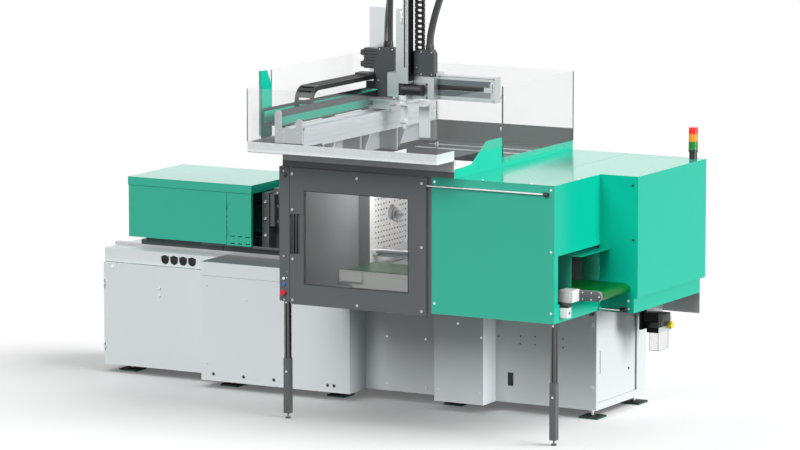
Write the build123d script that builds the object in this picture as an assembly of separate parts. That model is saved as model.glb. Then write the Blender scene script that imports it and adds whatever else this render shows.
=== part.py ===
from build123d import *
import math
import os

# Horizontal injection moulding machine with a guarded mould space,
# an unloading gantry robot on its roof and a parts conveyor.
# +X runs along the machine axis from the injection side to the clamp side,
# +Y runs away from the operator, +Z is up, the floor is z = 0.

# machine axis through the nozzle, both platens and the clamp ram: the platens stand
# PLATEN_LIFT above the base, and PLATEN_SIDE inside its front and back
PLATEN = 720
PLATEN_LIFT = 30
PLATEN_SIDE = 58
BASE_TOP = 980
BASE_Y0 = 264
AXIS_Y = BASE_Y0 + PLATEN_SIDE + PLATEN / 2
AXIS_Z = BASE_TOP + PLATEN_LIFT + PLATEN / 2

# machine base and its cabinets
BASE_X0 = -68
BASE_X1 = 1902
BASE_Y1 = 2 * AXIS_Y - BASE_Y0
BASE_Z0 = 63
MID_X0 = -1387
MID_Y0 = 20
CAB_X0 = -2414
SEAM_Z = 872
CABINET_Z0 = 55
SHEET = 3
WALL = 8
POST_W = 150
HINGE_R = 5
HINGE_PIN = 2.5
BASE_FEET_X = (BASE_X1 - 57, BASE_X0 + 768)
MID_FEET_X = (BASE_X0 - 182, MID_X0 + 187)
CAB_FEET_X = CAB_X0 + 164
FOOT_BAR = 12
VENTS = 4
VENT_X0 = MID_X0 - 474
VENT_PITCH = 82
VENT_W = 72
VENT_Z = 924

# guard around the mould space
GUARD_Y0 = -828
GUARD_Z0 = 893
GUARD_TOP = 1900
DOOR_Y0 = GUARD_Y0 - 24
DOOR_X0 = -82
DOOR_X1 = 1066
DOOR_Z0 = 875
WINDOW_X0 = DOOR_X0 + 126
WINDOW_X1 = DOOR_X1 - 150
WINDOW_Z0 = 1035
WINDOW_Z1 = 1726
GRIP_Z0 = 1252
GRIP_Z1 = 1552
BOX_X0 = 1102
BOX_X1 = 2106
BLOCK_X1 = 2414
ROD_Y = GUARD_Y0 - 12
ROD_Z = 1835
ROD_R = 7
BLOCK_Y0 = -94
BLOCK_Y1 = BASE_Y1 - 40
SKIRT_Z = 1007
SKIRT_STEP = 30
OUTLET_Z0 = 1029
OUTLET_Z1 = 1381

BUTTON_X = -133
BUTTON_R = 11
BUTTON_Z1 = 1063
BUTTON_Z0 = 1017
STOP_Z = 959

# platens and tie bars
FIXED_X0 = -288
FIXED_X1 = -68
MOVING_X0 = 480
MOVING_X1 = 680
END_X0 = 1350
END_X1 = 1600
TIE_INSET = 90
TIE_SPAN = PLATEN / 2 - TIE_INSET
TIE_R = 35
RAM_R = 90
EJECTOR_R = 20
RAM_X1 = 1850
FIT = 0.1
CLAMP_WAY_TOP = BASE_TOP + 31

# injection unit
INJ_X0 = -2192
INJ_SPLIT = -1300
INJ_X1 = -1074
INJ_WAY_TOP = BASE_TOP + 32
SLED_TOP = INJ_WAY_TOP + 38
INJ_Z0 = BASE_TOP + 106
INJ_LID_Z = AXIS_Z + 124
INJ_TOP = AXIS_Z + 189
BARREL_R = 55
SCREW_R = 25

# conveyor
BELT_X0 = 215
BELT_X1 = 2318
BELT_Y0 = -528
BELT_Y1 = -108
BELT_Z = 1075
ROLLER_R = 34
BELT_T = 3

# roof tray and its clear screens
ROOF_X0 = -297
ROOF_X1 = 1287
ROOF_Y0 = -1094
ROOF_Y1 = BASE_Y1 - 28
TRAY_Z = 2025
TRAY_TOP = 2103
PANE_TOP = 2498
TALL_PANE_TOP = 2604
PANE_T = 6

# gantry robot
RAIL_X0 = -38
RAIL_X1 = 142
RAIL_Y0 = -1028
RAIL_Y1 = BASE_Y1 - 50
RAIL_Z0 = 2080
RAIL_Z1 = 2200
ARM_TOP = 3500
CROSS_X0 = 125
CROSS_X1 = 1030
CROSS_Z0 = 2322
CROSS_Z1 = 2505
CROSS_Y0 = 262
CROSS_Y1 = 352
MAST_X0 = 320
MAST_X1 = 364
MAST_Y0 = 150
MAST_Y1 = 230
MAST_Z0 = 2440
WRIST_Z = 2392
CROSS_HOUSING_TOP = 2677
CHAIN_LOW = 2226
CHAIN_TOP = 2466
ARM_HOUSING_TOP = 2690

# flexible conduit and air hose over the mast, from one drive housing to the other
CONDUIT_D = 46
HOSE_D = 20
CONDUIT_ROUTE = ((55, 430, CROSS_HOUSING_TOP), (55, 430, 2850), (59, 428, 3040), (62, 420, 3235), (181, 395, 3382),
                 (366, 345, 3421), (534, 298, 3335), (600, 270, 3165), (537, 262, 2985), (500, 262, 2845),
                 (486, 262, 2765), (486, 262, ARM_HOUSING_TOP))
HOSE_ROUTE = ((12, 436, CROSS_HOUSING_TOP), (12, 436, 2840), (16, 464, 3030), (56, 458, 3230), (176, 433, 3388),
              (364, 383, 3428), (536, 336, 3341), (603, 310, 3168), (540, 304, 2985), (502, 305, 2845),
              (488, 306, 2765), (488, 306, ARM_HOUSING_TOP))

PARTS = {}


def box(x0, x1, y0, y1, z0, z1):
    """Block between two corners."""
    return Pos((x0 + x1) / 2, (y0 + y1) / 2, (z0 + z1) / 2) * Box(x1 - x0, y1 - y0, z1 - z0)


def rod_x(x0, x1, y, z, r):
    return Pos((x0 + x1) / 2, y, z) * Rot(0, 90, 0) * Cylinder(r, x1 - x0)


def rod_y(x, y0, y1, z, r):
    return Pos(x, (y0 + y1) / 2, z) * Rot(90, 0, 0) * Cylinder(r, y1 - y0)


def rod_z(x, y, z0, z1, r):
    return Pos(x, y, (z0 + z1) / 2) * Cylinder(r, z1 - z0)


def shell(x0, x1, y0, y1, z0, z1, t, open_side):
    """Sheet housing of wall t, left open on one side: 'bottom', 'front', 'right' or 'top'."""
    far = 50
    low = {"x": x0 + t, "y": y0 + t, "z": z0 + t}
    high = {"x": x1 - t, "y": y1 - t, "z": z1 - t}
    if open_side == "bottom":
        low["z"] = z0 - far
    if open_side == "front":
        low["y"] = y0 - far
    if open_side == "right":
        high["x"] = x1 + far
    if open_side == "top":
        high["z"] = z1 + far
    cavity = box(low["x"], high["x"], low["y"], high["y"], low["z"], high["z"])
    return box(x0, x1, y0, y1, z0, z1) - cavity


def plate_xz(points, y0, y1):
    """Plate with an outline in X and Z, between two depths."""
    face = make_face(Polyline(*[(x, y0, z) for x, z in points], close=True))
    return extrude(face, amount=y1 - y0, dir=(0, 1, 0))


def plate_yz(points, x0, x1):
    """Plate with an outline in Y and Z, between two stations along the machine."""
    face = make_face(Polyline(*[(x0, y, z) for y, z in points], close=True))
    return extrude(face, amount=x1 - x0, dir=(1, 0, 0))


def keep(name, shape):
    PARTS[name] = shape


def join(name, *others):
    """Pieces fixed to a carrier for good share its node."""
    total = PARTS[name]
    for other in others:
        total = total + PARTS.pop(other)
    PARTS[name] = total


def union(pieces):
    total = pieces[0]
    for piece in pieces[1:]:
        total = total + piece
    return total


def build_base():
    frame = shell(BASE_X0, BASE_X1, BASE_Y0 + SHEET, BASE_Y1, BASE_Z0, BASE_TOP, WALL, "bottom")
    # recess of the end face, framed by the rear post and the bottom rail
    recess_x = BASE_X1 - 2 * WALL
    frame -= box(recess_x, BASE_X1 + 1, BASE_Y0, BASE_Y1 - POST_W, BASE_Z0 + 55, BASE_TOP - 90)
    # two cross walls stiffen the trough from inside, and bars take the levelling studs
    for x in (600, 1250):
        frame += box(x, x + WALL, BASE_Y0 + SHEET, BASE_Y1, BASE_Z0, BASE_TOP)
    for x in BASE_FEET_X:
        frame += box(x - 30, x + 30, BASE_Y0 + SHEET, BASE_Y1, BASE_Z0, BASE_Z0 + FOOT_BAR)
    # front corner plate of the end face, wide at the top and cut back below
    corner = [(BASE_Y0 + SHEET, 895), (381, 895), (381, 628), (302, 572), (302, 110), (BASE_Y0 + SHEET, 110)]
    frame += plate_yz(corner, BASE_X1 - SHEET, BASE_X1)
    keep("base_frame", frame)

    panel = box(BASE_X0 + 2, BASE_X1 - 2, BASE_Y0, BASE_Y0 + SHEET, BASE_Z0 + 3, BASE_TOP - 2)
    panel -= box(1160, 1208, BASE_Y0 - 1, BASE_Y0 + 20, 192, 294)
    keep("base_front_panel", panel)

    inner = BASE_Y0 + SHEET + WALL
    end = box(recess_x - SHEET, recess_x, inner, BASE_Y1 - WALL, BASE_Z0 + 12, BASE_TOP - WALL)
    handle = box(recess_x, recess_x + 6, BASE_Y0 + 55, BASE_Y0 + 100, 320, 510)
    grip = box(recess_x - 1, recess_x + 8, BASE_Y0 + 62, BASE_Y0 + 92, 330, 500)
    keep("base_end_panel", end + handle - grip)

    cover = shell(640, 1057, 61, BASE_Y0, BASE_Z0, 889, SHEET, "top")
    keep("terminal_box", cover)


def build_cabinets():
    x1 = BASE_X0
    cabinet = shell(MID_X0, x1, MID_Y0, BASE_Y1, CABINET_Z0, BASE_TOP, 2 * SHEET, "bottom")
    # joint below the cover's rim
    cabinet -= seam_ring(MID_X0, x1, MID_Y0, BASE_Y1)
    for x in (-1277, -1007, -737, -262, -206):
        cabinet -= rod_y(x, MID_Y0 - 1, MID_Y0 + 10, 108, 12)
    for x in MID_FEET_X:
        cabinet += box(x - 30, x + 30, MID_Y0, BASE_Y1, CABINET_Z0, CABINET_Z0 + FOOT_BAR)
    keep("middle_cabinet", cabinet)

    body = shell(CAB_X0, MID_X0, BASE_Y0, BASE_Y1, CABINET_Z0 + 3, BASE_TOP, 2 * SHEET, "bottom")
    body -= box(CAB_X0 + 20, MID_X0 - 21, BASE_Y0 - 1, BASE_Y0 + 20, CABINET_Z0 + 20, SEAM_Z - 20)
    for index in range(VENTS):
        body -= vent_opening(VENT_X0 + index * VENT_PITCH)
    body += box(CAB_FEET_X - 30, CAB_FEET_X + 30, BASE_Y0, BASE_Y1, CABINET_Z0 + 3, CABINET_Z0 + 3 + FOOT_BAR)
    # hinges at the left edge: pins on the cabinet, knuckles on the door
    hinge_x = CAB_X0 + 8
    hinge_y = BASE_Y0 - 24 - HINGE_R
    knuckles = []
    for z in (200, 700):
        pin, knuckle = hinge_z(hinge_x, hinge_y, z)
        leaf = box(CAB_X0, hinge_x, hinge_y, BASE_Y0, z - 30, z - 10)
        body += pin + leaf + Pos(0, 0, 40) * leaf
        knuckles.append(knuckle)
    keep("left_cabinet", body)

    door = box(CAB_X0 + 1, MID_X0 - 5, BASE_Y0 - 24, BASE_Y0 - 2, CABINET_Z0 + 6, SEAM_Z - 4)
    door -= box(CAB_X0 + 4, MID_X0 - 8, BASE_Y0 - 21, BASE_Y0, CABINET_Z0 + 9, SEAM_Z - 7)
    for z in (200, 700):
        door -= box(CAB_X0, hinge_x + 5, BASE_Y0 - 25, BASE_Y0, z - 31, z - 9)
        door -= box(CAB_X0, hinge_x + 5, BASE_Y0 - 25, BASE_Y0, z + 9, z + 31)
    door = union([door] + knuckles)
    for z in (700, 640):
        door += rod_y(MID_X0 - 510, BASE_Y0 - 28, BASE_Y0 - 24, z, 11)
    keep("left_cabinet_door", door)


def seam_ring(x0, x1, y0, y1):
    """Shallow groove all round a cabinet, where its cover meets its sides."""
    depth = 2
    outer = box(x0 - 1, x1 + 1, y0 - 1, y1 + 1, SEAM_Z - 1.5, SEAM_Z + 1.5)
    return outer - box(x0 + depth, x1 - depth, y0 + depth, y1 - depth, SEAM_Z - 2, SEAM_Z + 2)


def hinge_z(x, y, z):
    """Upright hinge: a pin with its two end lugs, and the knuckle that turns on it."""
    pin = rod_z(x, y, z - 30, z + 30, HINGE_PIN)
    pin += rod_z(x, y, z - 30, z - 10, HINGE_R) + rod_z(x, y, z + 10, z + 30, HINGE_R)
    knuckle = rod_z(x, y, z - 9.9, z + 9.9, HINGE_R) + box(x, x + 14, y, y + HINGE_R, z - 9.9, z + 9.9)
    return pin, knuckle - rod_z(x, y, z - 11, z + 11, HINGE_PIN + FIT)


def vent_opening(x):
    """U-shaped vent: flat top, round bottom."""
    cut = box(x - VENT_W / 2, x + VENT_W / 2, BASE_Y0 - 5, BASE_Y0 + 10, VENT_Z, VENT_Z + 28)
    return cut + rod_y(x, BASE_Y0 - 5, BASE_Y0 + 10, VENT_Z, VENT_W / 2)


def foot_places():
    """Centres of the levelling pads: along the base and under the cabinets."""
    base = [(x, y, BASE_Z0) for x in BASE_FEET_X for y in (BASE_Y0 + 58, BASE_Y1 - 80)]
    middle = [(x, y, CABINET_Z0) for x in MID_FEET_X for y in (200, BASE_Y1 - 100)]
    left = [(CAB_FEET_X, y, CABINET_Z0 + 3) for y in (400, BASE_Y1 - 100)]
    return base + middle + left


def build_feet():
    feet = []
    for x, y, top in foot_places():
        # a square pad with a low boss, and the stud that screws into it with its lock nut
        foot = box(x - 78, x + 78, y - 78, y + 78, 0, 16) + rod_z(x, y, 0, 22, 26) + rod_z(x, y, 22, top, 11)
        feet.append(foot + Pos(x, y, top - 13) * extrude(RegularPolygon(20, 6), 12))
    keep("levelling_feet", Compound(children=feet))


def build_injection():
    # rails on the cabinet tops that the whole unit slides on
    rails = [box(CAB_X0 + 4, FIXED_X0 - 52, AXIS_Y + s * 250 - 25, AXIS_Y + s * 250 + 25, BASE_TOP, INJ_WAY_TOP) for s in (-1, 1)]
    keep("injection_rails", Compound(children=rails))

    sled = box(-2150, -700, AXIS_Y - 300, AXIS_Y + 300, INJ_WAY_TOP + FIT, SLED_TOP)
    sled += box(-1060, -1000, AXIS_Y - 280, AXIS_Y + 280, SLED_TOP, AXIS_Z + 120)
    sled += box(-1000, -760, AXIS_Y - 170, AXIS_Y + 170, SLED_TOP, AXIS_Z - 150)
    sled -= rod_x(-1100, -900, AXIS_Y, AXIS_Z, BARREL_R + 20)
    keep("injection_sled", sled)

    block = box(-1000, -820, AXIS_Y - 210, AXIS_Y + 210, AXIS_Z - 150, AXIS_Z + 150)
    block -= rod_x(-1100, -700, AXIS_Y, AXIS_Z, BARREL_R)
    for s in (-1, 1):
        block += box(-1000, -960, AXIS_Y + s * 235 - 30, AXIS_Y + s * 235 + 30, AXIS_Z - 140, AXIS_Z + 110)
    keep("barrel_clamp_block", block)

    barrel = rod_x(-1059, -330, AXIS_Y, AXIS_Z, BARREL_R)
    barrel += rod_x(-330, -160, AXIS_Y, AXIS_Z, 30)
    barrel += Pos(-140, AXIS_Y, AXIS_Z) * Rot(0, 90, 0) * Cone(30, 14, 40)
    barrel -= rod_x(-1060, -340, AXIS_Y, AXIS_Z, SCREW_R + FIT)
    barrel -= rod_x(-350, -110, AXIS_Y, AXIS_Z, 4)
    keep("barrel", barrel)
    bands = []
    for x in (-800, -690, -580, -470):
        ring = rod_x(x, x + 90, AXIS_Y, AXIS_Z, BARREL_R + 10) - rod_x(x - 1, x + 91, AXIS_Y, AXIS_Z, BARREL_R)
        bands.append(ring)
    keep("heater_bands", Compound(children=bands))
    join("barrel", "heater_bands")
    join("injection_sled", "barrel_clamp_block")

    screw = rod_x(-1500, -400, AXIS_Y, AXIS_Z, SCREW_R)
    for index in range(15):
        x = -1040 + index * 42
        screw -= rod_x(x, x + 26, AXIS_Y, AXIS_Z, SCREW_R + 1) - rod_x(x, x + 26, AXIS_Y, AXIS_Z, SCREW_R - 7)
    screw += Pos(-385, AXIS_Y, AXIS_Z) * Rot(0, 90, 0) * Cone(SCREW_R - 5, 6, 30)
    screw += Pos(-1450, AXIS_Y, AXIS_Z) * Rot(0, 90, 0) * extrude(RegularPolygon(48, 6), 60)
    keep("plasticising_screw", screw)
    drive = box(-1900, -1560, AXIS_Y - 180, AXIS_Y + 180, SLED_TOP + FIT, AXIS_Z + 110)
    drive += rod_x(-1560, -1502, AXIS_Y, AXIS_Z, 60)
    keep("screw_drive", drive)

    y0 = BASE_Y0 + 2
    y1 = BASE_Y1 - 14
    cover = shell(INJ_X0, INJ_SPLIT - 2, y0, y1, INJ_Z0, INJ_LID_Z + 20, SHEET, "right")
    cover += box(INJ_SPLIT - 2, INJ_X1 - 8, y1 - SHEET, y1, INJ_Z0, INJ_LID_Z - 2)
    cover -= box(INJ_X0 - 1, INJ_X1, y0 - 1, y1 + 1, INJ_LID_Z - 2, INJ_TOP)
    cover -= box(INJ_X0 + 60, INJ_SPLIT + 1, AXIS_Y - 305, AXIS_Y + 305, INJ_Z0 - 1, INJ_Z0 + SHEET + 1)
    for s in (-1, 1):
        cover += box(-2100, -1400, AXIS_Y + s * 302.5 - 2.5, AXIS_Y + s * 302.5 + 2.5, 1013, INJ_Z0 + SHEET)
    lid = shell(INJ_X0 - 4, INJ_X1, y0 - 4, y1 + 2, INJ_LID_Z, INJ_TOP, SHEET, "bottom")
    # lid hinges along the back edge, nozzle door hinges at its left edge
    pin_y = y1 + 2 + HINGE_R
    pin_z = INJ_LID_Z
    for x in (-2000, -1300):
        pin = rod_x(x - 30, x + 30, pin_y, pin_z, HINGE_PIN)
        for end in (x - 30, x + 10):
            pin += rod_x(end, end + 20, pin_y, pin_z, HINGE_R) + box(end, end + 20, y1, pin_y, pin_z - 18, pin_z)
            lid -= box(end - 1, end + 21, y1, y1 + 8, pin_z - 1, pin_z + HINGE_R + 1)
        cover += pin
        knuckle = rod_x(x - 9.9, x + 9.9, pin_y, pin_z, HINGE_R)
        knuckle += box(x - 9.9, x + 9.9, y1 + 2, pin_y, pin_z, pin_z + 14)
        lid += knuckle - rod_x(x - 11, x + 11, pin_y, pin_z, HINGE_PIN + FIT)
    door_hinges = []
    for z in (1180, 1400):
        pin, knuckle = hinge_z(INJ_SPLIT, y0 - HINGE_R, z)
        leaf = box(INJ_SPLIT - 14, INJ_SPLIT, y0 - HINGE_R, y0, z - 30, z - 10)
        cover += pin + leaf + Pos(0, 0, 40) * leaf
        door_hinges.append(knuckle)
    keep("injection_cover", cover)
    keep("injection_lid", lid)
    door = box(INJ_SPLIT + 1, INJ_X1 - 6, y0, y0 + SHEET, INJ_Z0 - 6, INJ_LID_Z - 3)
    door += box(INJ_X1 - 9, INJ_X1 - 6, y0, y0 + 26, INJ_Z0 - 6, INJ_LID_Z - 3)
    # two rows of cooling slots low on the door
    for z in (1094, 1150):
        for x in (-1268, -1200, -1130):
            door -= box(x, x + 38, y0 - 1, y0 + SHEET + 1, z, z + 7)
    keep("nozzle_door", union([door] + door_hinges))


def tie_places():
    return [(AXIS_Y + a * TIE_SPAN, AXIS_Z + b * TIE_SPAN) for a in (-1, 1) for b in (-1, 1)]


def build_clamp():
    half = PLATEN / 2
    fixed = box(FIXED_X0, FIXED_X1, AXIS_Y - half, AXIS_Y + half, AXIS_Z - half, AXIS_Z + half)
    fixed -= rod_x(FIXED_X0 - 1, FIXED_X1 + 1, AXIS_Y, AXIS_Z, 62)
    for y, z in tie_places():
        fixed -= rod_x(FIXED_X0 - 1, FIXED_X1 + 1, y, z, TIE_R)
    fixed += box(FIXED_X0 + 20, FIXED_X1 - 20, AXIS_Y - half, AXIS_Y + half, BASE_TOP, AXIS_Z - half)
    for j in range(-3, 4):
        for k in range(-3, 4):
            if abs(j) + abs(k) > 1 and not (abs(j) == 3 and abs(k) == 3):
                y = AXIS_Y + j * 85
                z = AXIS_Z + k * 85
                fixed -= box(FIXED_X1 - 25, FIXED_X1 + 1, y - 8, y + 8, z - 8, z + 8)
    keep("fixed_platen", fixed)

    moving = box(MOVING_X0, MOVING_X1, AXIS_Y - half, AXIS_Y + half, CLAMP_WAY_TOP + FIT, AXIS_Z + half)
    moving -= rod_x(MOVING_X0 - 1, MOVING_X1 + 1, AXIS_Y, AXIS_Z, EJECTOR_R + FIT)
    for y, z in tie_places():
        moving -= rod_x(MOVING_X0 - 1, MOVING_X1 + 1, y, z, TIE_R + FIT)
    keep("moving_platen", moving)

    ram = rod_x(MOVING_X1, RAM_X1, AXIS_Y, AXIS_Z, RAM_R)
    ram -= rod_x(MOVING_X1 - 1, 1200, AXIS_Y, AXIS_Z, 50)
    keep("clamp_ram", ram)
    ejector = rod_x(MOVING_X0 + 28, MOVING_X1 + 128, AXIS_Y, AXIS_Z, EJECTOR_R)
    ejector += rod_x(MOVING_X1 + 128, MOVING_X1 + 158, AXIS_Y, AXIS_Z, 42)
    keep("ejector", ejector)

    end = box(END_X0, END_X1, AXIS_Y - half, AXIS_Y + half, BASE_TOP, AXIS_Z + half)
    end += rod_x(END_X1, RAM_X1 + 60, AXIS_Y, AXIS_Z, RAM_R + 40)
    end -= rod_x(END_X0 - 1, RAM_X1 + 20, AXIS_Y, AXIS_Z, RAM_R + FIT)
    for y, z in tie_places():
        end -= rod_x(END_X0 - 1, END_X1 + 1, y, z, TIE_R)
    keep("cylinder_platen", end)

    bars = []
    for y, z in tie_places():
        bar = rod_x(FIXED_X0 - 50, END_X1 + 60, y, z, TIE_R)
        bar += rod_x(FIXED_X0 - 45, FIXED_X0, y, z, 58) + rod_x(END_X1, END_X1 + 45, y, z, 58)
        bars.append(bar)
    keep("tie_bars", Compound(children=bars))
    ways = [box(160, END_X0 - 2, y - 40, y + 40, BASE_TOP, CLAMP_WAY_TOP) for y in (AXIS_Y - 250, AXIS_Y + 250)]
    keep("slide_ways", Compound(children=ways))
    join("injection_rails", "slide_ways")
    PARTS["guide_ways"] = PARTS.pop("injection_rails")


def build_guard():
    # the door runs in front of the green box, so it stands proud of it
    y = DOOR_Y0
    back = GUARD_Y0 - 2
    # sliding door: folded plate with a window opening and a grip recess at its closing edge
    door = box(DOOR_X0, DOOR_X1, y, back, DOOR_Z0, GUARD_TOP - 3)
    door -= box(WINDOW_X0, WINDOW_X1, y - 1, back + 1, WINDOW_Z0, WINDOW_Z1)
    door -= box(DOOR_X0 + 110, DOOR_X1 - SHEET, y + 5, back + 1, DOOR_Z0 + SHEET, WINDOW_Z0 - 4)
    door -= box(DOOR_X0 + 110, DOOR_X1 - SHEET, y + 5, back + 1, WINDOW_Z1 + 4, ROD_Z - 35)
    # slot for the rod that the door hangs on
    door -= box(DOOR_X0 - 1, DOOR_X1 + 1, ROD_Y - ROD_R - FIT, back + 1, ROD_Z - ROD_R - FIT, ROD_Z + ROD_R + FIT)
    door -= box(DOOR_X0 - 1, DOOR_X0 + 24, y - 1, back + 1, GRIP_Z0, GRIP_Z1)
    door -= rod_z(DOOR_X0 + 62, y - 6, GRIP_Z0, GRIP_Z1, 22) + box(DOOR_X0 + 20, DOOR_X0 + 62, y - 1, y + 16, GRIP_Z0, GRIP_Z1)
    door -= box(DOOR_X0 + 62, DOOR_X0 + 98, y - 1, y + 8, GRIP_Z0, GRIP_Z1)
    keep("guard_door", door)
    pane = box(WINDOW_X0, WINDOW_X1, y + 6, y + 14, WINDOW_Z0, WINDOW_Z1)
    keep("door_window", pane)
    heads = []
    left = DOOR_X0 + 24
    middle = (DOOR_X0 + DOOR_X1) / 2
    right = DOOR_X1 - 33
    low = DOOR_Z0 + 30
    high = GUARD_TOP - 50
    corners = [(x, z) for x in (left, middle, right) for z in (low, high)]
    for x, z in corners + [(left, GRIP_Z1 + 31), (left, GRIP_Z0 - 39), (right, (low + high) / 2)]:
        heads.append(rod_y(x, y - 4, y, z, 11))
    keep("door_screws", Compound(children=heads))
    join("guard_door", "door_screws")

    # fixed post left of the door, with the operating buttons
    post = box(-170, DOOR_X0 - 3, y, GUARD_Y0 + 62, GUARD_Z0, GUARD_TOP)
    for z in (BUTTON_Z0, BUTTON_Z1, STOP_Z):
        post -= rod_y(BUTTON_X, y - 1, y + 14, z, BUTTON_R + FIT)
    keep("control_post", post)
    for name, z in (("button_white", BUTTON_Z1), ("button_blue", BUTTON_Z0)):
        keep(name, rod_y(BUTTON_X, y - 8, y + 6, z, BUTTON_R))
    stop = rod_y(BUTTON_X, y - 14, y + 6, STOP_Z, BUTTON_R) + rod_y(BUTTON_X, y - 28, y - 14, STOP_Z, 20)
    keep("emergency_stop", stop)
    keep("status_lamps", Compound(children=[rod_y(BUTTON_X, y - 3, y, z, 5) for z in (1100, 915)]))
    keep("post_sensor", rod_y(-117, y - 14, y, 1838, 12) + rod_y(-117, y - 30, y - 14, 1838, 6))
    join("control_post", "status_lamps", "post_sensor")

    y = GUARD_Y0
    edge = box(DOOR_X1 - 20, BOX_X0, y, y + 64, GUARD_Z0, GUARD_TOP)

    # inner wall from the control post back to the fixed platen, and the guard's floor
    platen_front = AXIS_Y - PLATEN / 2 - 2
    wall = box(-160, -157, y + 62, MID_Y0 - 2, GUARD_Z0, GUARD_TOP)
    wall += box(-160, -157, MID_Y0 - 2, platen_front, BASE_TOP + 3, GUARD_TOP)
    wall += box(-157, -60, platen_front - SHEET, platen_front, BASE_TOP + 3, GUARD_TOP)
    floor = box(-160, BOX_X0, y + 62, MID_Y0 - 2, GUARD_Z0, GUARD_Z0 + SHEET)
    floor += box(BASE_X0 + 2, BOX_X0, MID_Y0 - 2, BASE_Y0, GUARD_Z0, GUARD_Z0 + SHEET)
    floor += box(BASE_X0 + 2, BOX_X0, BASE_Y0 - SHEET, BASE_Y0, GUARD_Z0, BASE_TOP - 2)
    keep("guard_liner", wall + floor + edge)

    front = shell(BOX_X0, BOX_X1, y, BLOCK_Y0, GUARD_Z0, GUARD_TOP, SHEET, "bottom")
    front -= box(BOX_X0 - 1, BOX_X1 - SHEET, y + 62, BLOCK_Y0, GUARD_Z0 - 1, GUARD_TOP - SHEET)
    front -= box(BOX_X1 - 10, BOX_X1 + 1, y + 60, BLOCK_Y0, OUTLET_Z0, OUTLET_Z1)
    front += box(BOX_X0, BOX_X1, y, BLOCK_Y0, GUARD_Z0, GUARD_Z0 + SHEET)
    keep("front_box_cover", front)

    block = shell(BOX_X0, BLOCK_X1, BLOCK_Y0, BLOCK_Y1, SKIRT_Z, GUARD_TOP, SHEET, "bottom")
    block -= box(BOX_X0 - 1, BOX_X1 - SHEET, BLOCK_Y0 - 1, BLOCK_Y0 + SHEET, SKIRT_Z - 1, GUARD_TOP - SHEET)
    block -= box(BOX_X0 - 1, BOX_X0 + SHEET + 1, BLOCK_Y0 - 1, BLOCK_Y1 - SHEET, SKIRT_Z - 1, GUARD_TOP - SHEET)
    # joint between the two roof sheets
    block -= box(1758, 1762, BLOCK_Y0 - 1, BLOCK_Y1 + 1, GUARD_TOP - 1, GUARD_TOP + 1)
    keep("block_cover", block)
    x1 = BLOCK_X1 - SKIRT_STEP
    skirt = box(BOX_X1 + 1, x1, BLOCK_Y0, BLOCK_Y0 + SHEET, 889, SKIRT_Z)
    skirt += box(x1 - SHEET, x1, BLOCK_Y0, BLOCK_Y1 - SKIRT_STEP, 889, SKIRT_Z)
    keep("block_skirt", skirt)
    rear = box(1950, x1, BLOCK_Y1 - SKIRT_STEP - SHEET, BLOCK_Y1 - SKIRT_STEP, 730, 1000)
    keep("rear_skirt", rear)
    skirt_top = box(x1 - SHEET, BLOCK_X1, BLOCK_Y0, BLOCK_Y1, SKIRT_Z - SHEET, SKIRT_Z)
    join("block_cover", "block_skirt", "rear_skirt")
    PARTS["block_cover"] += skirt_top

    # outlet hood over the belt: near cheek and flat roof that sticks out past the box
    hood = box(1250, 2182, -548, BLOCK_Y0 - 4, 1352, 1355)
    hood += box(1250, BOX_X1 - 5, -548, -545, GUARD_Z0 + SHEET, 1352)
    keep("outlet_hood", hood)
    join("front_box_cover", "outlet_hood")

    # rod that carries the door, in front of the green box
    rod = rod_x(DOOR_X0 - 3, 2028, ROD_Y, ROD_Z, ROD_R) + rod_x(2028, 2056, ROD_Y, ROD_Z, 11.9)
    for x in (DOOR_X1 + 20, 2040):
        rod += box(x - 6, x + 6, ROD_Y, GUARD_Y0, ROD_Z - 5, ROD_Z + 5)
    # shorter rod beside the belt outlet
    short = rod_x(2110, 2290, BLOCK_Y0 - 18, 912, 8) + rod_x(2290, 2330, BLOCK_Y0 - 18, 912, 16)
    short += box(2110, 2130, BLOCK_Y0 - 26, BLOCK_Y0, 900, 924)
    keep("guide_rods", Compound(children=[rod, short]))


def build_legs():
    profiles = []
    sleeves = []
    feet = []
    for x in (-132, 2094):
        y = -798
        profile = box(x - 20, x + 20, y - 20, y + 20, 380, GUARD_Z0)
        # lengthwise slots of the profile
        for a, b in ((-1, 0), (1, 0), (0, -1), (0, 1)):
            profile -= Pos(x + a * 18, y + b * 18, 640) * Box(10 if a == 0 else 14, 10 if b == 0 else 14, 540)
        profiles.append(profile)
        sleeve = box(x - 25, x + 25, y - 25, y + 25, 40, 458) - box(x - 20, x + 20, y - 20, y + 20, 60, 460)
        sleeves.append(sleeve)
        feet.append(rod_z(x, y, 0, 12, 20) + rod_z(x, y, 12, 40, 6))
    keep("leg_profiles", Compound(children=profiles))
    keep("leg_sleeves", Compound(children=sleeves))
    keep("leg_feet", Compound(children=feet))
    join("leg_sleeves", "leg_feet")


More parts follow.
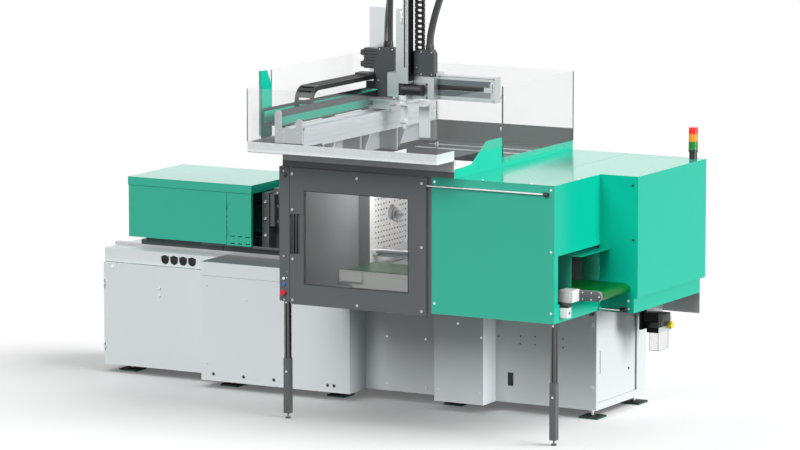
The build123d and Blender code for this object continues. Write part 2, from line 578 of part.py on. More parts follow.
def build_conveyor():
    outer = ROLLER_R + BELT_T
    r = ROLLER_R + 0.4
    belt = box(BELT_X0, BELT_X1, BELT_Y0, BELT_Y1, BELT_Z - outer, BELT_Z + outer)
    belt += rod_y(BELT_X0, BELT_Y0, BELT_Y1, BELT_Z, outer) + rod_y(BELT_X1, BELT_Y0, BELT_Y1, BELT_Z, outer)
    belt -= box(BELT_X0, BELT_X1, BELT_Y0 - 1, BELT_Y1 + 1, BELT_Z - r, BELT_Z + r)
    belt -= rod_y(BELT_X0, BELT_Y0 - 1, BELT_Y1 + 1, BELT_Z, r)
    belt -= rod_y(BELT_X1, BELT_Y0 - 1, BELT_Y1 + 1, BELT_Z, r)
    keep("conveyor_belt", belt)
    for name, x in (("idler_roller", BELT_X0), ("drive_roller", BELT_X1)):
        roller = rod_y(x, BELT_Y0 + 2, BELT_Y1 - 2, BELT_Z, ROLLER_R) + rod_y(x, BELT_Y0 - 5, BELT_Y1 + 5, BELT_Z, 8)
        keep(name, roller)
    # bed between the two runs, with a profile along each side
    bed = box(BELT_X0 + 60, BELT_X1 - 60, BELT_Y0 + 4, BELT_Y1 - 4, BELT_Z - 25, BELT_Z + 25)
    for y0, y1 in ((BELT_Y0 - 14, BELT_Y0 - 1), (BELT_Y1 + 1, BELT_Y1 + 9)):
        side = box(BELT_X0 - 30, BELT_X1 + 10, y0, y1, BELT_Z - 38, BELT_Z + 32)
        side -= box(BELT_X0 + 100, BELT_X1 + 20, min(y0, y1) - 1, y0 + 5, BELT_Z - 8, BELT_Z + 2)
        for x in (BELT_X0, BELT_X1):
            side -= rod_y(x, y0 - 1, y1 + 1, BELT_Z, 8 + FIT)
        bed += side + box(BELT_X0 + 100, BELT_X0 + 130, y0, y1, BELT_Z - 20, BELT_Z + 20)
    bed += box(BELT_X0 + 100, BELT_X0 + 130, BELT_Y0 - 2, BELT_Y1 + 2, BELT_Z - 20, BELT_Z + 20)
    bed += box(BELT_X1 - 130, BELT_X1 - 100, BELT_Y0 - 2, BELT_Y1 + 2, BELT_Z - 20, BELT_Z + 20)
    keep("conveyor_bed", bed)
    keep("conveyor_tail", box(BELT_X0 - 36, BELT_X0 + 150, BELT_Y0 - 40, BELT_Y0 - 14, BELT_Z - 45, BELT_Z + 34))
    stand = [box(BELT_X0 + 60, BELT_X1 - 280, BELT_Y0 - 14, BELT_Y0 + 24, 985, BELT_Z - 38)]
    stand.append(box(BELT_X0 + 60, BELT_X1 - 280, BELT_Y1 - 24, BELT_Y1 + 9, 985, BELT_Z - 38))
    for x in (420, 1700):
        stand.append(box(x, x + 60, BELT_Y0 - 14, BELT_Y1 + 9, GUARD_Z0 + SHEET, 985))
    keep("conveyor_stand", union(stand))
    join("conveyor_bed", "conveyor_stand", "conveyor_tail")

    y1 = BELT_Y0 - 14
    y0 = y1 - 26
    length = 210
    cover = box(BELT_X1 - length, BELT_X1, y0, y1, BELT_Z - 38, BELT_Z + 38) + rod_y(BELT_X1, y0, y1, BELT_Z, 38)
    keep("belt_drive_cover", cover)
    motor = fillet(box(2066, 2180, -680, y0, 1034, 1122).edges().filter_by(Axis.Y), 6)
    control = fillet(box(BOX_X1, 2172, -742, -680, 927, 1003).edges(), 5)
    keep("belt_motor", Compound(children=[motor, control]))


def build_roof():
    band = box(-155, ROOF_X1, GUARD_Y0, GUARD_Y0 + SHEET, GUARD_TOP, TRAY_Z)
    band += box(-155, -152, GUARD_Y0, BASE_Y1 - 100, GUARD_TOP, TRAY_Z)
    keep("roof_band", band)
    tray = box(ROOF_X0, ROOF_X1, ROOF_Y0, GUARD_Y0 + 20, TRAY_Z, TRAY_Z + SHEET)
    tray += box(ROOF_X0, ROOF_X1, ROOF_Y0, ROOF_Y0 + SHEET, TRAY_Z, TRAY_TOP)
    tray += box(ROOF_X1 - SHEET, ROOF_X1, ROOF_Y0, GUARD_Y0, TRAY_Z, TRAY_TOP)
    tray += box(ROOF_X0, ROOF_X0 + SHEET, ROOF_Y0, ROOF_Y1, TRAY_Z, TRAY_TOP)
    tray += box(ROOF_X0, -156, GUARD_Y0 + 20, ROOF_Y1, TRAY_Z, TRAY_Z + SHEET)
    keep("roof_tray", tray)
    join("roof_tray", "roof_band")
    deck = box(-151, ROOF_X1 - 3, GUARD_Y0 + 4, ROOF_Y1, GUARD_TOP, GUARD_TOP + SHEET)
    # opening through which the robot reaches the mould and the belt
    deck -= box(170, 1180, -600, 1040, GUARD_TOP - 1, GUARD_TOP + 10)
    deck += box(-151, ROOF_X1 - 3, ROOF_Y1 - SHEET, ROOF_Y1, GUARD_TOP, 2060)
    for y0 in (-700, 1044):
        deck += box(200, ROOF_X1 - 4, y0, y0 + 22, GUARD_TOP + SHEET, GUARD_TOP + 28)
    keep("roof_deck", deck)
    upstand = box(ROOF_X1 - SHEET, ROOF_X1, GUARD_Y0 + 4, ROOF_Y1, GUARD_TOP, 1966)
    gusset = plate_yz([(-720, 1966), (-560, 1975), (-330, 2118), (-60, 2118), (-60, 1966)], ROOF_X1 - SHEET, ROOF_X1)
    keep("roof_upstand", upstand + gusset)

    panes = [box(ROOF_X0, ROOF_X1 + PANE_T, ROOF_Y0 - PANE_T, ROOF_Y0, TRAY_TOP - 50, PANE_TOP)]
    panes.append(box(ROOF_X1, ROOF_X1 + PANE_T, ROOF_Y0, -84, TRAY_TOP - 50, PANE_TOP))
    panes.append(box(ROOF_X1, ROOF_X1 + PANE_T, -80, ROOF_Y1, 1930, PANE_TOP))
    panes.append(box(ROOF_X0, ROOF_X1, ROOF_Y1, ROOF_Y1 + PANE_T, 1975, PANE_TOP))
    panes.append(box(ROOF_X0 - PANE_T, ROOF_X0, ROOF_Y0, -890, TRAY_TOP - 50, PANE_TOP))
    panes.append(box(ROOF_X0 - PANE_T, ROOF_X0, -744, ROOF_Y1, TRAY_TOP - 50, TALL_PANE_TOP))
    keep("clear_screens", Compound(children=panes))
    outline = [(-886, 2040), (-886, 2604), (-807, 2604), (-746, 2500), (-746, 2040)]
    join("conveyor_bed", "belt_drive_cover")
    keep("screen_post", plate_yz(outline, ROOF_X0 - 5, ROOF_X0 - 0.5) + box(ROOF_X0 - 25, ROOF_X0 - 5, -886, -882, 2120, 2604))
    join("roof_upstand", "screen_post")
    PARTS["roof_panels"] = PARTS.pop("roof_upstand")


def build_gantry():
    rail = box(RAIL_X0, RAIL_X1, RAIL_Y0, RAIL_Y1, RAIL_Z0, RAIL_Z1)
    rail -= box(RAIL_X0 + 12, RAIL_X1 - 12, RAIL_Y0 - 1, RAIL_Y1 + 1, RAIL_Z0 + 12, RAIL_Z1 - 12)
    for z in (2110, 2150):
        rail -= box(RAIL_X1 - 5, RAIL_X1 + 1, RAIL_Y0 - 1, RAIL_Y1 + 1, z, z + 8)
    keep("gantry_beam", rail)
    keep("gantry_guides", Compound(children=[box(x, x + 22, RAIL_Y0 + 30, RAIL_Y1 - 10, RAIL_Z1, RAIL_Z1 + 18)
                                             for x in (RAIL_X0 + 8, RAIL_X1 - 30)]))
    stand = [box(RAIL_X0 + 20, RAIL_X0 + 32, -760, RAIL_Y1, GUARD_TOP + SHEET, RAIL_Z0)]
    for y in (-740, -180, 380, 1000):
        stand.append(box(RAIL_X0 + 32, RAIL_X1, y, y + 12, GUARD_TOP + SHEET, RAIL_Z0))
    stand.append(box(RAIL_X0 + 20, RAIL_X1, -760, RAIL_Y1, RAIL_Z0 - 12, RAIL_Z0))
    keep("gantry_stand", union(stand))
    outline = [(-97, 2103), (135, 2103), (135, 2270), (122, 2283), (95, 2283), (81, 2270), (81, 2213), (-43, 2213)]
    outline += [(-43, 2325), (-56, 2338), (-84, 2338), (-97, 2325)]
    keep("beam_end_plate", plate_xz(outline, RAIL_Y0 - 12, RAIL_Y0 - 0.0))

    trough = box(-205, -44, RAIL_Y0 + 10, RAIL_Y1, 2222, 2345) - box(-201, -48, RAIL_Y0 + 9, RAIL_Y1 + 1, 2226, 2346)
    for y in (-900, -300, 300, 900):
        trough += box(-120, RAIL_X0, y, y + 60, 2150, 2222) - box(-44, RAIL_X0 + 1, y - 1, y + 61, 2196, 2230)
    keep("chain_trough", trough)
    keep("cross_chain", energy_chain())

    base_z = RAIL_Z1 + 22
    plate_z = CROSS_Z0 - 25
    carriage = box(RAIL_X0 - 2, RAIL_X1 + 20, 262, 540, base_z, base_z + 24)
    for x in (RAIL_X0 + 8, RAIL_X1 - 30):
        shoe = box(x - 12, x + 34, 290, 520, RAIL_Z1 + 2, base_z)
        carriage += shoe - box(x - FIT, x + 22 + FIT, 289, 521, RAIL_Z1, RAIL_Z1 + 18 + FIT)
    # riser, top plate and the upright that carries the cantilever beam
    carriage += box(-20, 120, 300, 500, base_z + 24, plate_z - 14)
    carriage += box(RAIL_X0, 240, CROSS_Y0, 500, plate_z - 14, plate_z)
    carriage += box(CROSS_X0, 300, CROSS_Y1, CROSS_Y1 + 50, plate_z, CROSS_Z1)
    keep("cross_carriage", carriage)

    front = CROSS_Y1 + 50
    # stepped over the chain trough on its left
    outline = [(-72, plate_z + 55), (RAIL_X0, plate_z + 55), (RAIL_X0, plate_z), (111, plate_z), (111, 2650),
               (98, CROSS_HOUSING_TOP), (-31, CROSS_HOUSING_TOP), (-72, 2499)]
    housing = plate_xz(outline, front, front + 55)
    keep("drive_housing", fillet(housing.edges().filter_by(Axis.Y), 4))
    motor = box(-160, -40, front + 6, front + 90, 2507, 2662) + box(-143, -60, front + 8, front + 50, 2355, 2410)
    for z in (2514, 2602):
        motor += box(-187, -160, front + 20, front + 70, z, z + 46)
    keep("drive_motor", motor)
    keep("chain_bracket", box(-195, -60, 330, front + 40, CHAIN_TOP + FIT, CHAIN_TOP + 13))
    join("drive_housing", "drive_motor", "chain_bracket")

    beam = box(CROSS_X0, CROSS_X1, CROSS_Y0, CROSS_Y1, CROSS_Z0, CROSS_Z1)
    # belt groove along the front, between the two guide rails
    beam -= box(400, CROSS_X1 - 20, CROSS_Y0 - 1, CROSS_Y0 + 14, 2394, 2436)
    beam -= box(CROSS_X0 - 1, CROSS_X1 + 1, CROSS_Y0 + 20, CROSS_Y1 - 12, CROSS_Z0 + 12, CROSS_Z1 - 12)
    for z in (CROSS_Z0, CROSS_Z1 - 22):
        beam -= box(CROSS_X0 - 1, CROSS_X1 + 1, CROSS_Y0 - 1, CROSS_Y0 + 4, z + 8, z + 14)
    keep("kick_beam", beam)
    keep("kick_beam_end", box(CROSS_X1, CROSS_X1 + 14, CROSS_Y0 - 4, CROSS_Y1 + 2, CROSS_Z0 - 4, CROSS_Z1 + 4))
    tensioner = box(CROSS_X1 - 70, CROSS_X1 - 5, CROSS_Y0 - 16, CROSS_Y0, 2399, 2468)
    keep("belt_tensioner", fillet(tensioner.edges().filter_by(Axis.Y), 8))
    # tall plate behind, on a foot beside the chain trough
    tall = box(-205, -67, 575, 587, 2376, 2958) + box(-205, 0, 575, 587, 2352, 2376)
    tall += box(-30, 0, 500, 587, base_z, 2364)
    keep("tall_plate", tall)
    join("cross_carriage", "kick_beam", "kick_beam_end", "belt_tensioner", "tall_plate")
    join("gantry_beam", "gantry_guides", "gantry_stand", "beam_end_plate")


def energy_chain():
    """Flat cable chain in the trough, folded over at its front and run back to the carriage."""
    x0, x1 = -196, -52
    low = CHAIN_LOW
    thick = 34
    height = CHAIN_TOP - CHAIN_LOW
    y_bend = -460
    r = height / 2
    z_mid = low + r
    chain = box(x0, x1, y_bend, 700, low, low + thick)
    ring = rod_x(x0, x1, y_bend, z_mid, r) - rod_x(x0 - 1, x1 + 1, y_bend, z_mid, r - thick)
    chain += ring & box(x0, x1, y_bend - r - 1, y_bend, low - 1, low + height + 1)
    chain += box(x0, x1, y_bend, CROSS_Y1 + 46, low + height - thick, low + height)
    # gaps between the links' crossbars
    for index in range(15):
        y = y_bend + 30 + index * 52
        chain -= box(x0 + 16, x1 - 16, y, y + 26, low + height - thick - 1, low + height + 1)
    for degrees in (115, 140, 165, 190, 215, 240):
        a = math.radians(degrees)
        y = y_bend + (r - thick / 2) * math.cos(a)
        z = z_mid + (r - thick / 2) * math.sin(a)
        chain -= Pos((x0 + x1) / 2, y, z) * Rot(degrees, 0, 0) * Box(x1 - x0 - 32, 60, 22)
    return chain


def build_arm():
    # kick carriage that runs along the cantilever beam, and its drive housing
    back = CROSS_Y0 - FIT
    top = CROSS_Z1 + 15
    carriage = box(330, 560, MAST_Y1 + 6, back, CROSS_Z0 - 2, top)
    carriage += box(330, 560, MAST_Y1 + 6, CROSS_Y1 + 14, CROSS_Z1 + FIT, top)
    # guide block behind the mast, and the bracket round the wrist drive
    carriage += box(MAST_X0 - 58, 330, MAST_Y1 + FIT, back, 2450, top)
    bracket = box(476, 566, 190, MAST_Y1 + 6, CROSS_Z0 + 5, CROSS_Z1 - 8) - rod_x(466, 512, 190, 2385, 62)
    keep("kick_carriage", carriage + bracket)

    housing = plate_xz([(330, top), (520, top), (520, 2662), (500, ARM_HOUSING_TOP), (380, ARM_HOUSING_TOP), (330, 2664)],
                       MAST_Y1 + 6, 330)
    housing += box(MAST_X1 + 14, 540, 222, MAST_Y1 + 6, CROSS_Z1 - 8, 2664)
    face = plate_xz([(434, 2508), (446, 2497), (548, 2497), (560, 2508), (560, 2676), (538, 2700), (456, 2700), (434, 2676)],
                    196, 222)
    keep("arm_drive_housing", housing + face)

    mast = box(MAST_X0, MAST_X1, MAST_Y0, MAST_Y1, MAST_Z0, ARM_TOP)
    mast -= box(MAST_X0 + 10, MAST_X1 - 10, MAST_Y0 - 1, MAST_Y0 + 6, MAST_Z0 + 120, ARM_TOP - 60)
    # flat plate beside the mast, its rack, and its cap
    outline = [(MAST_X0 - 64, MAST_Z0), (MAST_X0, MAST_Z0), (MAST_X0, 3003), (MAST_X0 - 50, 3003), (MAST_X0 - 64, 2985)]
    mast += plate_xz(outline, MAST_Y0 + 10, MAST_Y0 + 22)
    mast += box(MAST_X1, MAST_X1 + 8, MAST_Y0 + 10, MAST_Y1 - 8, MAST_Z0 + 20, ARM_TOP - 20)
    mast += box(MAST_X0 - 6, MAST_X1 + 10, MAST_Y0 - 6, MAST_Y1 + 2, ARM_TOP, ARM_TOP + 12)
    keep("arm_mast", mast)

    chain = []
    pitch = 40
    chain_x = 405
    for index in range(int((ARM_TOP - ARM_HOUSING_TOP) / pitch)):
        z = ARM_HOUSING_TOP + index * pitch
        link = box(chain_x - 35, chain_x + 35, 246, 282, z, z + 36)
        link -= box(chain_x - 23, chain_x + 23, 245, 283, z + 8, z + 28)
        chain.append(link + box(chain_x - 27, chain_x + 27, 252, 276, z + 28, z + 48))
    keep("arm_chain", union(chain))

    wrist = rod_x(300, 470, 190, WRIST_Z, 42) + box(280, 326, 156, 224, WRIST_Z - 42, MAST_Z0)
    keep("wrist_drive", wrist)
    flange = rod_z(303, 190, WRIST_Z - 76, WRIST_Z - 42 - FIT, 34) + box(283, 323, 170, 210, 2288, WRIST_Z - 76)
    # tool: top plate, upright plate, and the column of fittings beside it
    tool = box(270, 507, 140, 240, 2276, 2288) + box(417, 507, 228, 240, 2032, 2276)
    tool += box(295, 325, 165, 215, 2160, 2276) + rod_x(286, 334, 190, 2150, 22) + rod_z(310, 190, 2096, 2140, 12)
    keep("gripper", tool + flange)


def flexible(route, diameter):
    """Hose along a route: straight runs joined by tangent arcs, each as large as its two runs allow."""
    points = [Vector(*point) for point in route]
    line = []
    start = points[0]
    for before, corner, after in zip(points, points[1:], points[2:]):
        first = corner - before
        second = after - corner
        reach = 0.45 * min(first.length, second.length)
        entry = corner - first.normalized() * reach
        leave = corner + second.normalized() * reach
        line += [Line(start, entry), TangentArc(entry, leave, tangent=first)]
        start = leave
        radius = reach / math.tan(math.radians(first.get_angle(second)) / 2)
        if radius < 5 * diameter:
            print("tight bend", corner, round(radius))
    line.append(Line(start, points[-1]))
    path = Wire(line)
    return sweep(Plane(points[0], z_dir=points[1] - points[0]) * Circle(diameter / 2), path=path), path.length


def build_hoses():
    for name, route, diameter in (("conduit", CONDUIT_ROUTE, CONDUIT_D), ("air_hose", HOSE_ROUTE, HOSE_D)):
        tube, length = flexible(route, diameter)
        keep(name, tube)
        print(name, round(length), round(tube.volume / (math.pi * diameter ** 2 / 4 * length), 4))


def build_service():
    x = 2332
    y = 1002
    tower = rod_z(x, y, GUARD_TOP, GUARD_TOP + 52, 30)
    for index in range(3):
        z = GUARD_TOP + 52 + index * 56
        tower += rod_z(x, y, z, z + 54, 35) + rod_z(x, y, z + 54, z + 56, 33)
    tower += rod_z(x, y, GUARD_TOP + 220, GUARD_TOP + 238, 35)
    keep("signal_tower", tower)
    unit = box(2080, 2100, 620, 980, 640, 889) + box(2100, 2230, 640, 705, 700, 770)
    unit += box(2100, 2200, 705, 900, 609, 740) + box(2100, 2190, 900, 950, 600, 700)
    # arm back to the rear post of the base
    unit += box(BASE_X1, 2080, 955, 975, 680, 740)
    keep("air_unit", unit)
    keep("air_bowl", shell(2115, 2185, 730, 900, 470, 609, 4, "top"))
    keep("air_knob", rod_x(2200 + FIT, 2235, 870, 650, 24))


build_base()
build_cabinets()
build_feet()
build_injection()
build_clamp()
build_guard()
build_legs()
build_conveyor()
build_roof()
build_gantry()
build_arm()
build_hoses()
build_service()

os.makedirs("parts", exist_ok=True)
for name, shape in PARTS.items():
    export_step(shape, "parts/" + name + ".step")
print(len(PARTS), "pieces written")
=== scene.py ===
import math
import bmesh
import bpy
from mathutils import Matrix, Vector


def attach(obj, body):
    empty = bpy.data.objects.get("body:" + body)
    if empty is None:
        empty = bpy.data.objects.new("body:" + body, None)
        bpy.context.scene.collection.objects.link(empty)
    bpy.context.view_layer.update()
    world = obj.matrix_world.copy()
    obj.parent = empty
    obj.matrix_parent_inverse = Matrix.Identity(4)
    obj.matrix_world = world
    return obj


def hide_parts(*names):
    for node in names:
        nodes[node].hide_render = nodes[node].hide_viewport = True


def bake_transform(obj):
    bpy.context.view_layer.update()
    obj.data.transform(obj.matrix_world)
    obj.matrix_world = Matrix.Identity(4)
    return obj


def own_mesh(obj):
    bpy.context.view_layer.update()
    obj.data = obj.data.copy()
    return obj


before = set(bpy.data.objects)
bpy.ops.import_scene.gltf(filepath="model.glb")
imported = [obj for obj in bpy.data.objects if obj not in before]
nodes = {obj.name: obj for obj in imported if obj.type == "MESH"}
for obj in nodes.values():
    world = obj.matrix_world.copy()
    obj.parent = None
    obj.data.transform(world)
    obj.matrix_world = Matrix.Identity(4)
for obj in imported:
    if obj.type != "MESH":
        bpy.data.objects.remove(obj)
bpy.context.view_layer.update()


# ---- Camera. A long lens from the operator's side, to the right of the machine
# and a little above it. Its angle and framing are the photograph's.
EYE_PLACE = (17.629, -31.142, 6.589)
LOOKS_DOWN, TURNED_LEFT = 8.241, 28.98
eye = bpy.data.cameras.new("long_lens")
eye.sensor_width = 36.0
eye.lens = 215.52
eye.shift_x = -0.0002
eye.shift_y = -0.0071
eye.clip_end = 200.0
camera = bpy.data.objects.new("camera", eye)
camera.location = EYE_PLACE
camera.rotation_euler = (math.radians(90 - LOOKS_DOWN), 0.0, math.radians(TURNED_LEFT))
bpy.context.scene.collection.objects.link(camera)
bpy.context.scene.camera = camera
bpy.context.scene.view_settings.view_transform = "Standard"


# ---- Studio. A pale floor under an even sky, with a broad soft light from the right
# that makes the end faces the brightest sides, and a weaker one from high in front. The
# floor has a light of its own, which draws a soft shadow to the left of the machine.
class Number:
    """A value inside a finish, with the sums that finishes need."""

    def __init__(self, finish, socket):
        self.finish = finish
        self.socket = socket

    def combined(self, operation, first, second):
        return self.finish.node("ShaderNodeMath", {"operation": operation}, {0: first, 1: second})

    def __add__(self, other):
        return self.combined("ADD", self, other)

    def __radd__(self, other):
        return self.combined("ADD", other, self)

    def __sub__(self, other):
        return self.combined("SUBTRACT", self, other)

    def __rsub__(self, other):
        return self.combined("SUBTRACT", other, self)

    def __mul__(self, other):
        return self.combined("MULTIPLY", self, other)

    def __rmul__(self, other):
        return self.combined("MULTIPLY", other, self)

    def __gt__(self, other):
        return self.combined("GREATER_THAN", self, other)

    def __lt__(self, other):
        return self.combined("LESS_THAN", self, other)

    def within(self, low, high):
        return (self > low) * (self < high)


class Finish:
    """A surface finish: its node tree and one way to add a node to it."""

    def __init__(self, name, owner=None):
        self.owner = owner or bpy.data.materials.new(name)
        self.owner.use_nodes = True
        self.tree = self.owner.node_tree
        self.shader = self.tree.nodes.get("Principled BSDF")

    def feed(self, socket, value):
        if isinstance(value, Number):
            self.tree.links.new(value.socket, socket)
        else:
            socket.default_value = value

    def node(self, kind, settings=None, sockets=None, output=0):
        made = self.tree.nodes.new(kind)
        for setting, value in (settings or {}).items():
            setattr(made, setting, value)
        for key, value in (sockets or {}).items():
            self.feed(made.inputs[key], value)
        return Number(self, made.outputs[output])

    def blended(self, mask, first, second):
        settings = {"data_type": "RGBA"}
        return self.node("ShaderNodeMix", settings, {0: mask, 6: first, 7: second}, output=2)

    def paint(self, colour):
        self.feed(self.shader.inputs["Base Color"], colour)

    def fix(self, socket, value):
        """Sets a value of the shader that is the same all over the surface."""
        self.shader.inputs[socket].default_value = value

    def where(self, kind="Object"):
        return self.node("ShaderNodeTexCoord", output=kind)

    def parts(self, kind):
        split = self.node("ShaderNodeSeparateXYZ", sockets={0: self.where(kind)})
        return [Number(self, split.socket.node.outputs[axis]) for axis in range(3)]

    def place(self):
        """Where a point of the surface is, as three numbers in metres."""
        return self.parts("Object")

    def facing(self):
        """The way the surface faces there, as the three parts of a unit vector."""
        return self.parts("Normal")

    def grain(self, size, detail=2.0, stretch=(1.0, 1.0, 1.0)):
        """Uneven values from 0 to 1 whose patches are about that many metres across."""
        scale = tuple(1.0 / (size * part) for part in stretch)
        where = self.node("ShaderNodeMapping", sockets={"Vector": self.where(), "Scale": scale})
        sockets = {"Vector": where, "Scale": 1.0, "Detail": detail}
        return self.node("ShaderNodeTexNoise", sockets=sockets, output="Fac")

    def texture(self, height, strength, values):
        sockets = {"Strength": strength, "Distance": height, "Height": values}
        self.feed(self.shader.inputs["Normal"], self.node("ShaderNodeBump", sockets=sockets))

    def seen(self):
        """1 for what the camera sees directly, in a reflection or through glass."""
        rays = self.node("ShaderNodeLightPath", output="Is Camera Ray")
        outputs = rays.socket.node.outputs
        for name in ("Is Glossy Ray", "Is Transmission Ray"):
            rays = rays.combined("MAXIMUM", rays, Number(self, outputs[name]))
        return rays


def tint(red, green, blue):
    """Screen colour, 0 to 255, as the light it stands for by the usual screen curve."""
    light = []
    for part in (red / 255.0, green / 255.0, blue / 255.0):
        light.append(part / 12.92 if part <= 0.04045 else ((part + 0.055) / 1.055) ** 2.4)
    return (*light, 1.0)


def gray(value):
    return (value, value, value, 1.0)


def darker(colour, share):
    return tuple(part * share for part in colour[:3]) + (1.0,)


def sun(name, toward, strength, width):
    light = bpy.data.lights.new(name, "SUN")
    light.energy = strength * math.pi
    light.angle = math.radians(width)
    holder = bpy.data.objects.new(name, light)
    holder.rotation_mode = "QUATERNION"
    holder.rotation_quaternion = Vector(toward).to_track_quat("Z", "Y")
    bpy.context.scene.collection.objects.link(holder)
    return holder


world = bpy.data.worlds.new("daylight")
bpy.context.scene.world = world
sky = Finish("sky", world)
background = sky.tree.nodes["Background"]
background.inputs["Color"].default_value = gray(1.0)
upward = sky.parts("Generated")[2]
ambient = 0.30 + upward.combined("MAXIMUM", upward, 0.0) * 0.35
sky.feed(background.inputs["Strength"], ambient + sky.seen() * (1.0 - ambient))

sheet = bmesh.new()
bmesh.ops.create_grid(sheet, x_segments=1, y_segments=1, size=60.0)
floor_mesh = bpy.data.meshes.new("floor")
sheet.to_mesh(floor_mesh)
sheet.free()
floor = bpy.data.objects.new("floor", floor_mesh)
bpy.context.scene.collection.objects.link(floor)
pale = Finish("pale_floor")
distance = pale.node("ShaderNodeVectorMath", {"operation": "LENGTH"}, {0: pale.where()}, output="Value")
FADE_START, FADE_END = 3.0, 6.5
fade_sockets = {"Value": distance, "From Min": FADE_START, "From Max": FADE_END}
fade = pale.node("ShaderNodeMapRange", {"interpolation_type": "SMOOTHSTEP"}, fade_sockets)
shown = pale.seen()
pale.paint(pale.blended(fade, pale.blended(shown, gray(0.25), gray(0.92)), gray(0.0)))
NEAR_GLOW = 0.12
glow = (fade * (1.0 - NEAR_GLOW) + NEAR_GLOW) * shown
pale.feed(pale.shader.inputs["Emission Color"], pale.blended(glow, gray(0.0), gray(1.0)))
pale.fix("Emission Strength", 1.0)
pale.fix("Roughness", 0.9)
pale.fix("Specular IOR Level", 0.0)
floor.data.materials.append(pale.owner)

# the two lights of the machine leave the floor alone, so no long shadow runs across it
only_floor = bpy.data.collections.new("only_floor")
only_floor.objects.link(floor)
all_but_floor = bpy.data.collections.new("all_but_floor")
all_but_floor.objects.link(floor)
all_but_floor.collection_objects[0].light_linking.link_state = "EXCLUDE"
right_sun = sun("right_sun", (0.96, 0.0, 0.28), 1.10, 30.0)
front_sun = sun("front_sun", (-0.1, -0.79, 0.6), 0.80, 40.0)
floor_sun = sun("floor_sun", (0.7, 0.1, 0.7), 0.68, 40.0)
right_sun.light_linking.receiver_collection = all_but_floor
front_sun.light_linking.receiver_collection = all_but_floor
floor_sun.light_linking.receiver_collection = only_floor


# ---- Base frame. Folded and welded steel sheet, powder coated light gray, with screwed
# panels, round plugs in the spare holes and two small square plates at the right corner.
LIGHT = tint(211, 217, 219)
FRONT = (0, -1, 0)
RIGHT = (1, 0, 0)
LEFT = (-1, 0, 0)
UP = (0, 0, 1)
BASE_FACE = 264
BOX_FACE = 61


def dressed(names, finish):
    """Gives CAD pieces a finish in place of their plain one."""
    for name in names:
        held = nodes[name].data.materials
        held.clear()
        held.append(finish.owner)


def powder_coat(name, colour, roughness=0.38, gloss=0.5, lacquer=0.0):
    """Baked powder paint. Its lacquer shows only on the faces that look up."""
    coat = Finish(name)
    coat.fix("Specular IOR Level", gloss)
    if lacquer:
        top = coat.facing()[2] > 0.5
        coat.feed(coat.shader.inputs["Coat Weight"], top * lacquer)
        coat.fix("Coat Roughness", 0.15)
    coat.paint(coat.blended(coat.grain(0.35, 3.0), darker(colour, 0.96), colour))
    coat.feed(coat.shader.inputs["Roughness"], roughness - 0.05 + coat.grain(0.05) * 0.1)
    coat.texture(0.0004, 0.06, coat.grain(0.004))
    return coat


def bare_metal(name, colour, roughness, stretch=(1.0, 1.0, 1.0)):
    metal = Finish(name)
    scratches = metal.grain(0.012, 4.0, stretch)
    metal.paint(metal.blended(scratches, darker(colour, 0.86), colour))
    metal.fix("Metallic", 1.0)
    metal.feed(metal.shader.inputs["Roughness"], roughness - 0.06 + scratches * 0.12)
    metal.texture(0.0002, 0.15, scratches)
    return metal


def moulded(name, colour, roughness=0.35):
    plastic = Finish(name)
    patches = plastic.grain(0.02)
    plastic.paint(plastic.blended(patches, darker(colour, 0.92), colour))
    plastic.feed(plastic.shader.inputs["Roughness"], roughness - 0.05 + patches * 0.1)
    plastic.texture(0.0002, 0.1, plastic.grain(0.003))
    return plastic


PAN_HEAD = [(0, 0.4), (0.42, 0.4), (0.48, 1), (0.8, 1), (0.96, 0.75), (1, 0.4), (1, 0), (0, 0)]


def rounded(bit, edge):
    """Rounds all the edges of a form."""
    edges = bit.edges[:]
    bmesh.ops.bevel(bit, geom=edges, offset=edge, segments=2, profile=0.5, affect="EDGES", material=-1)


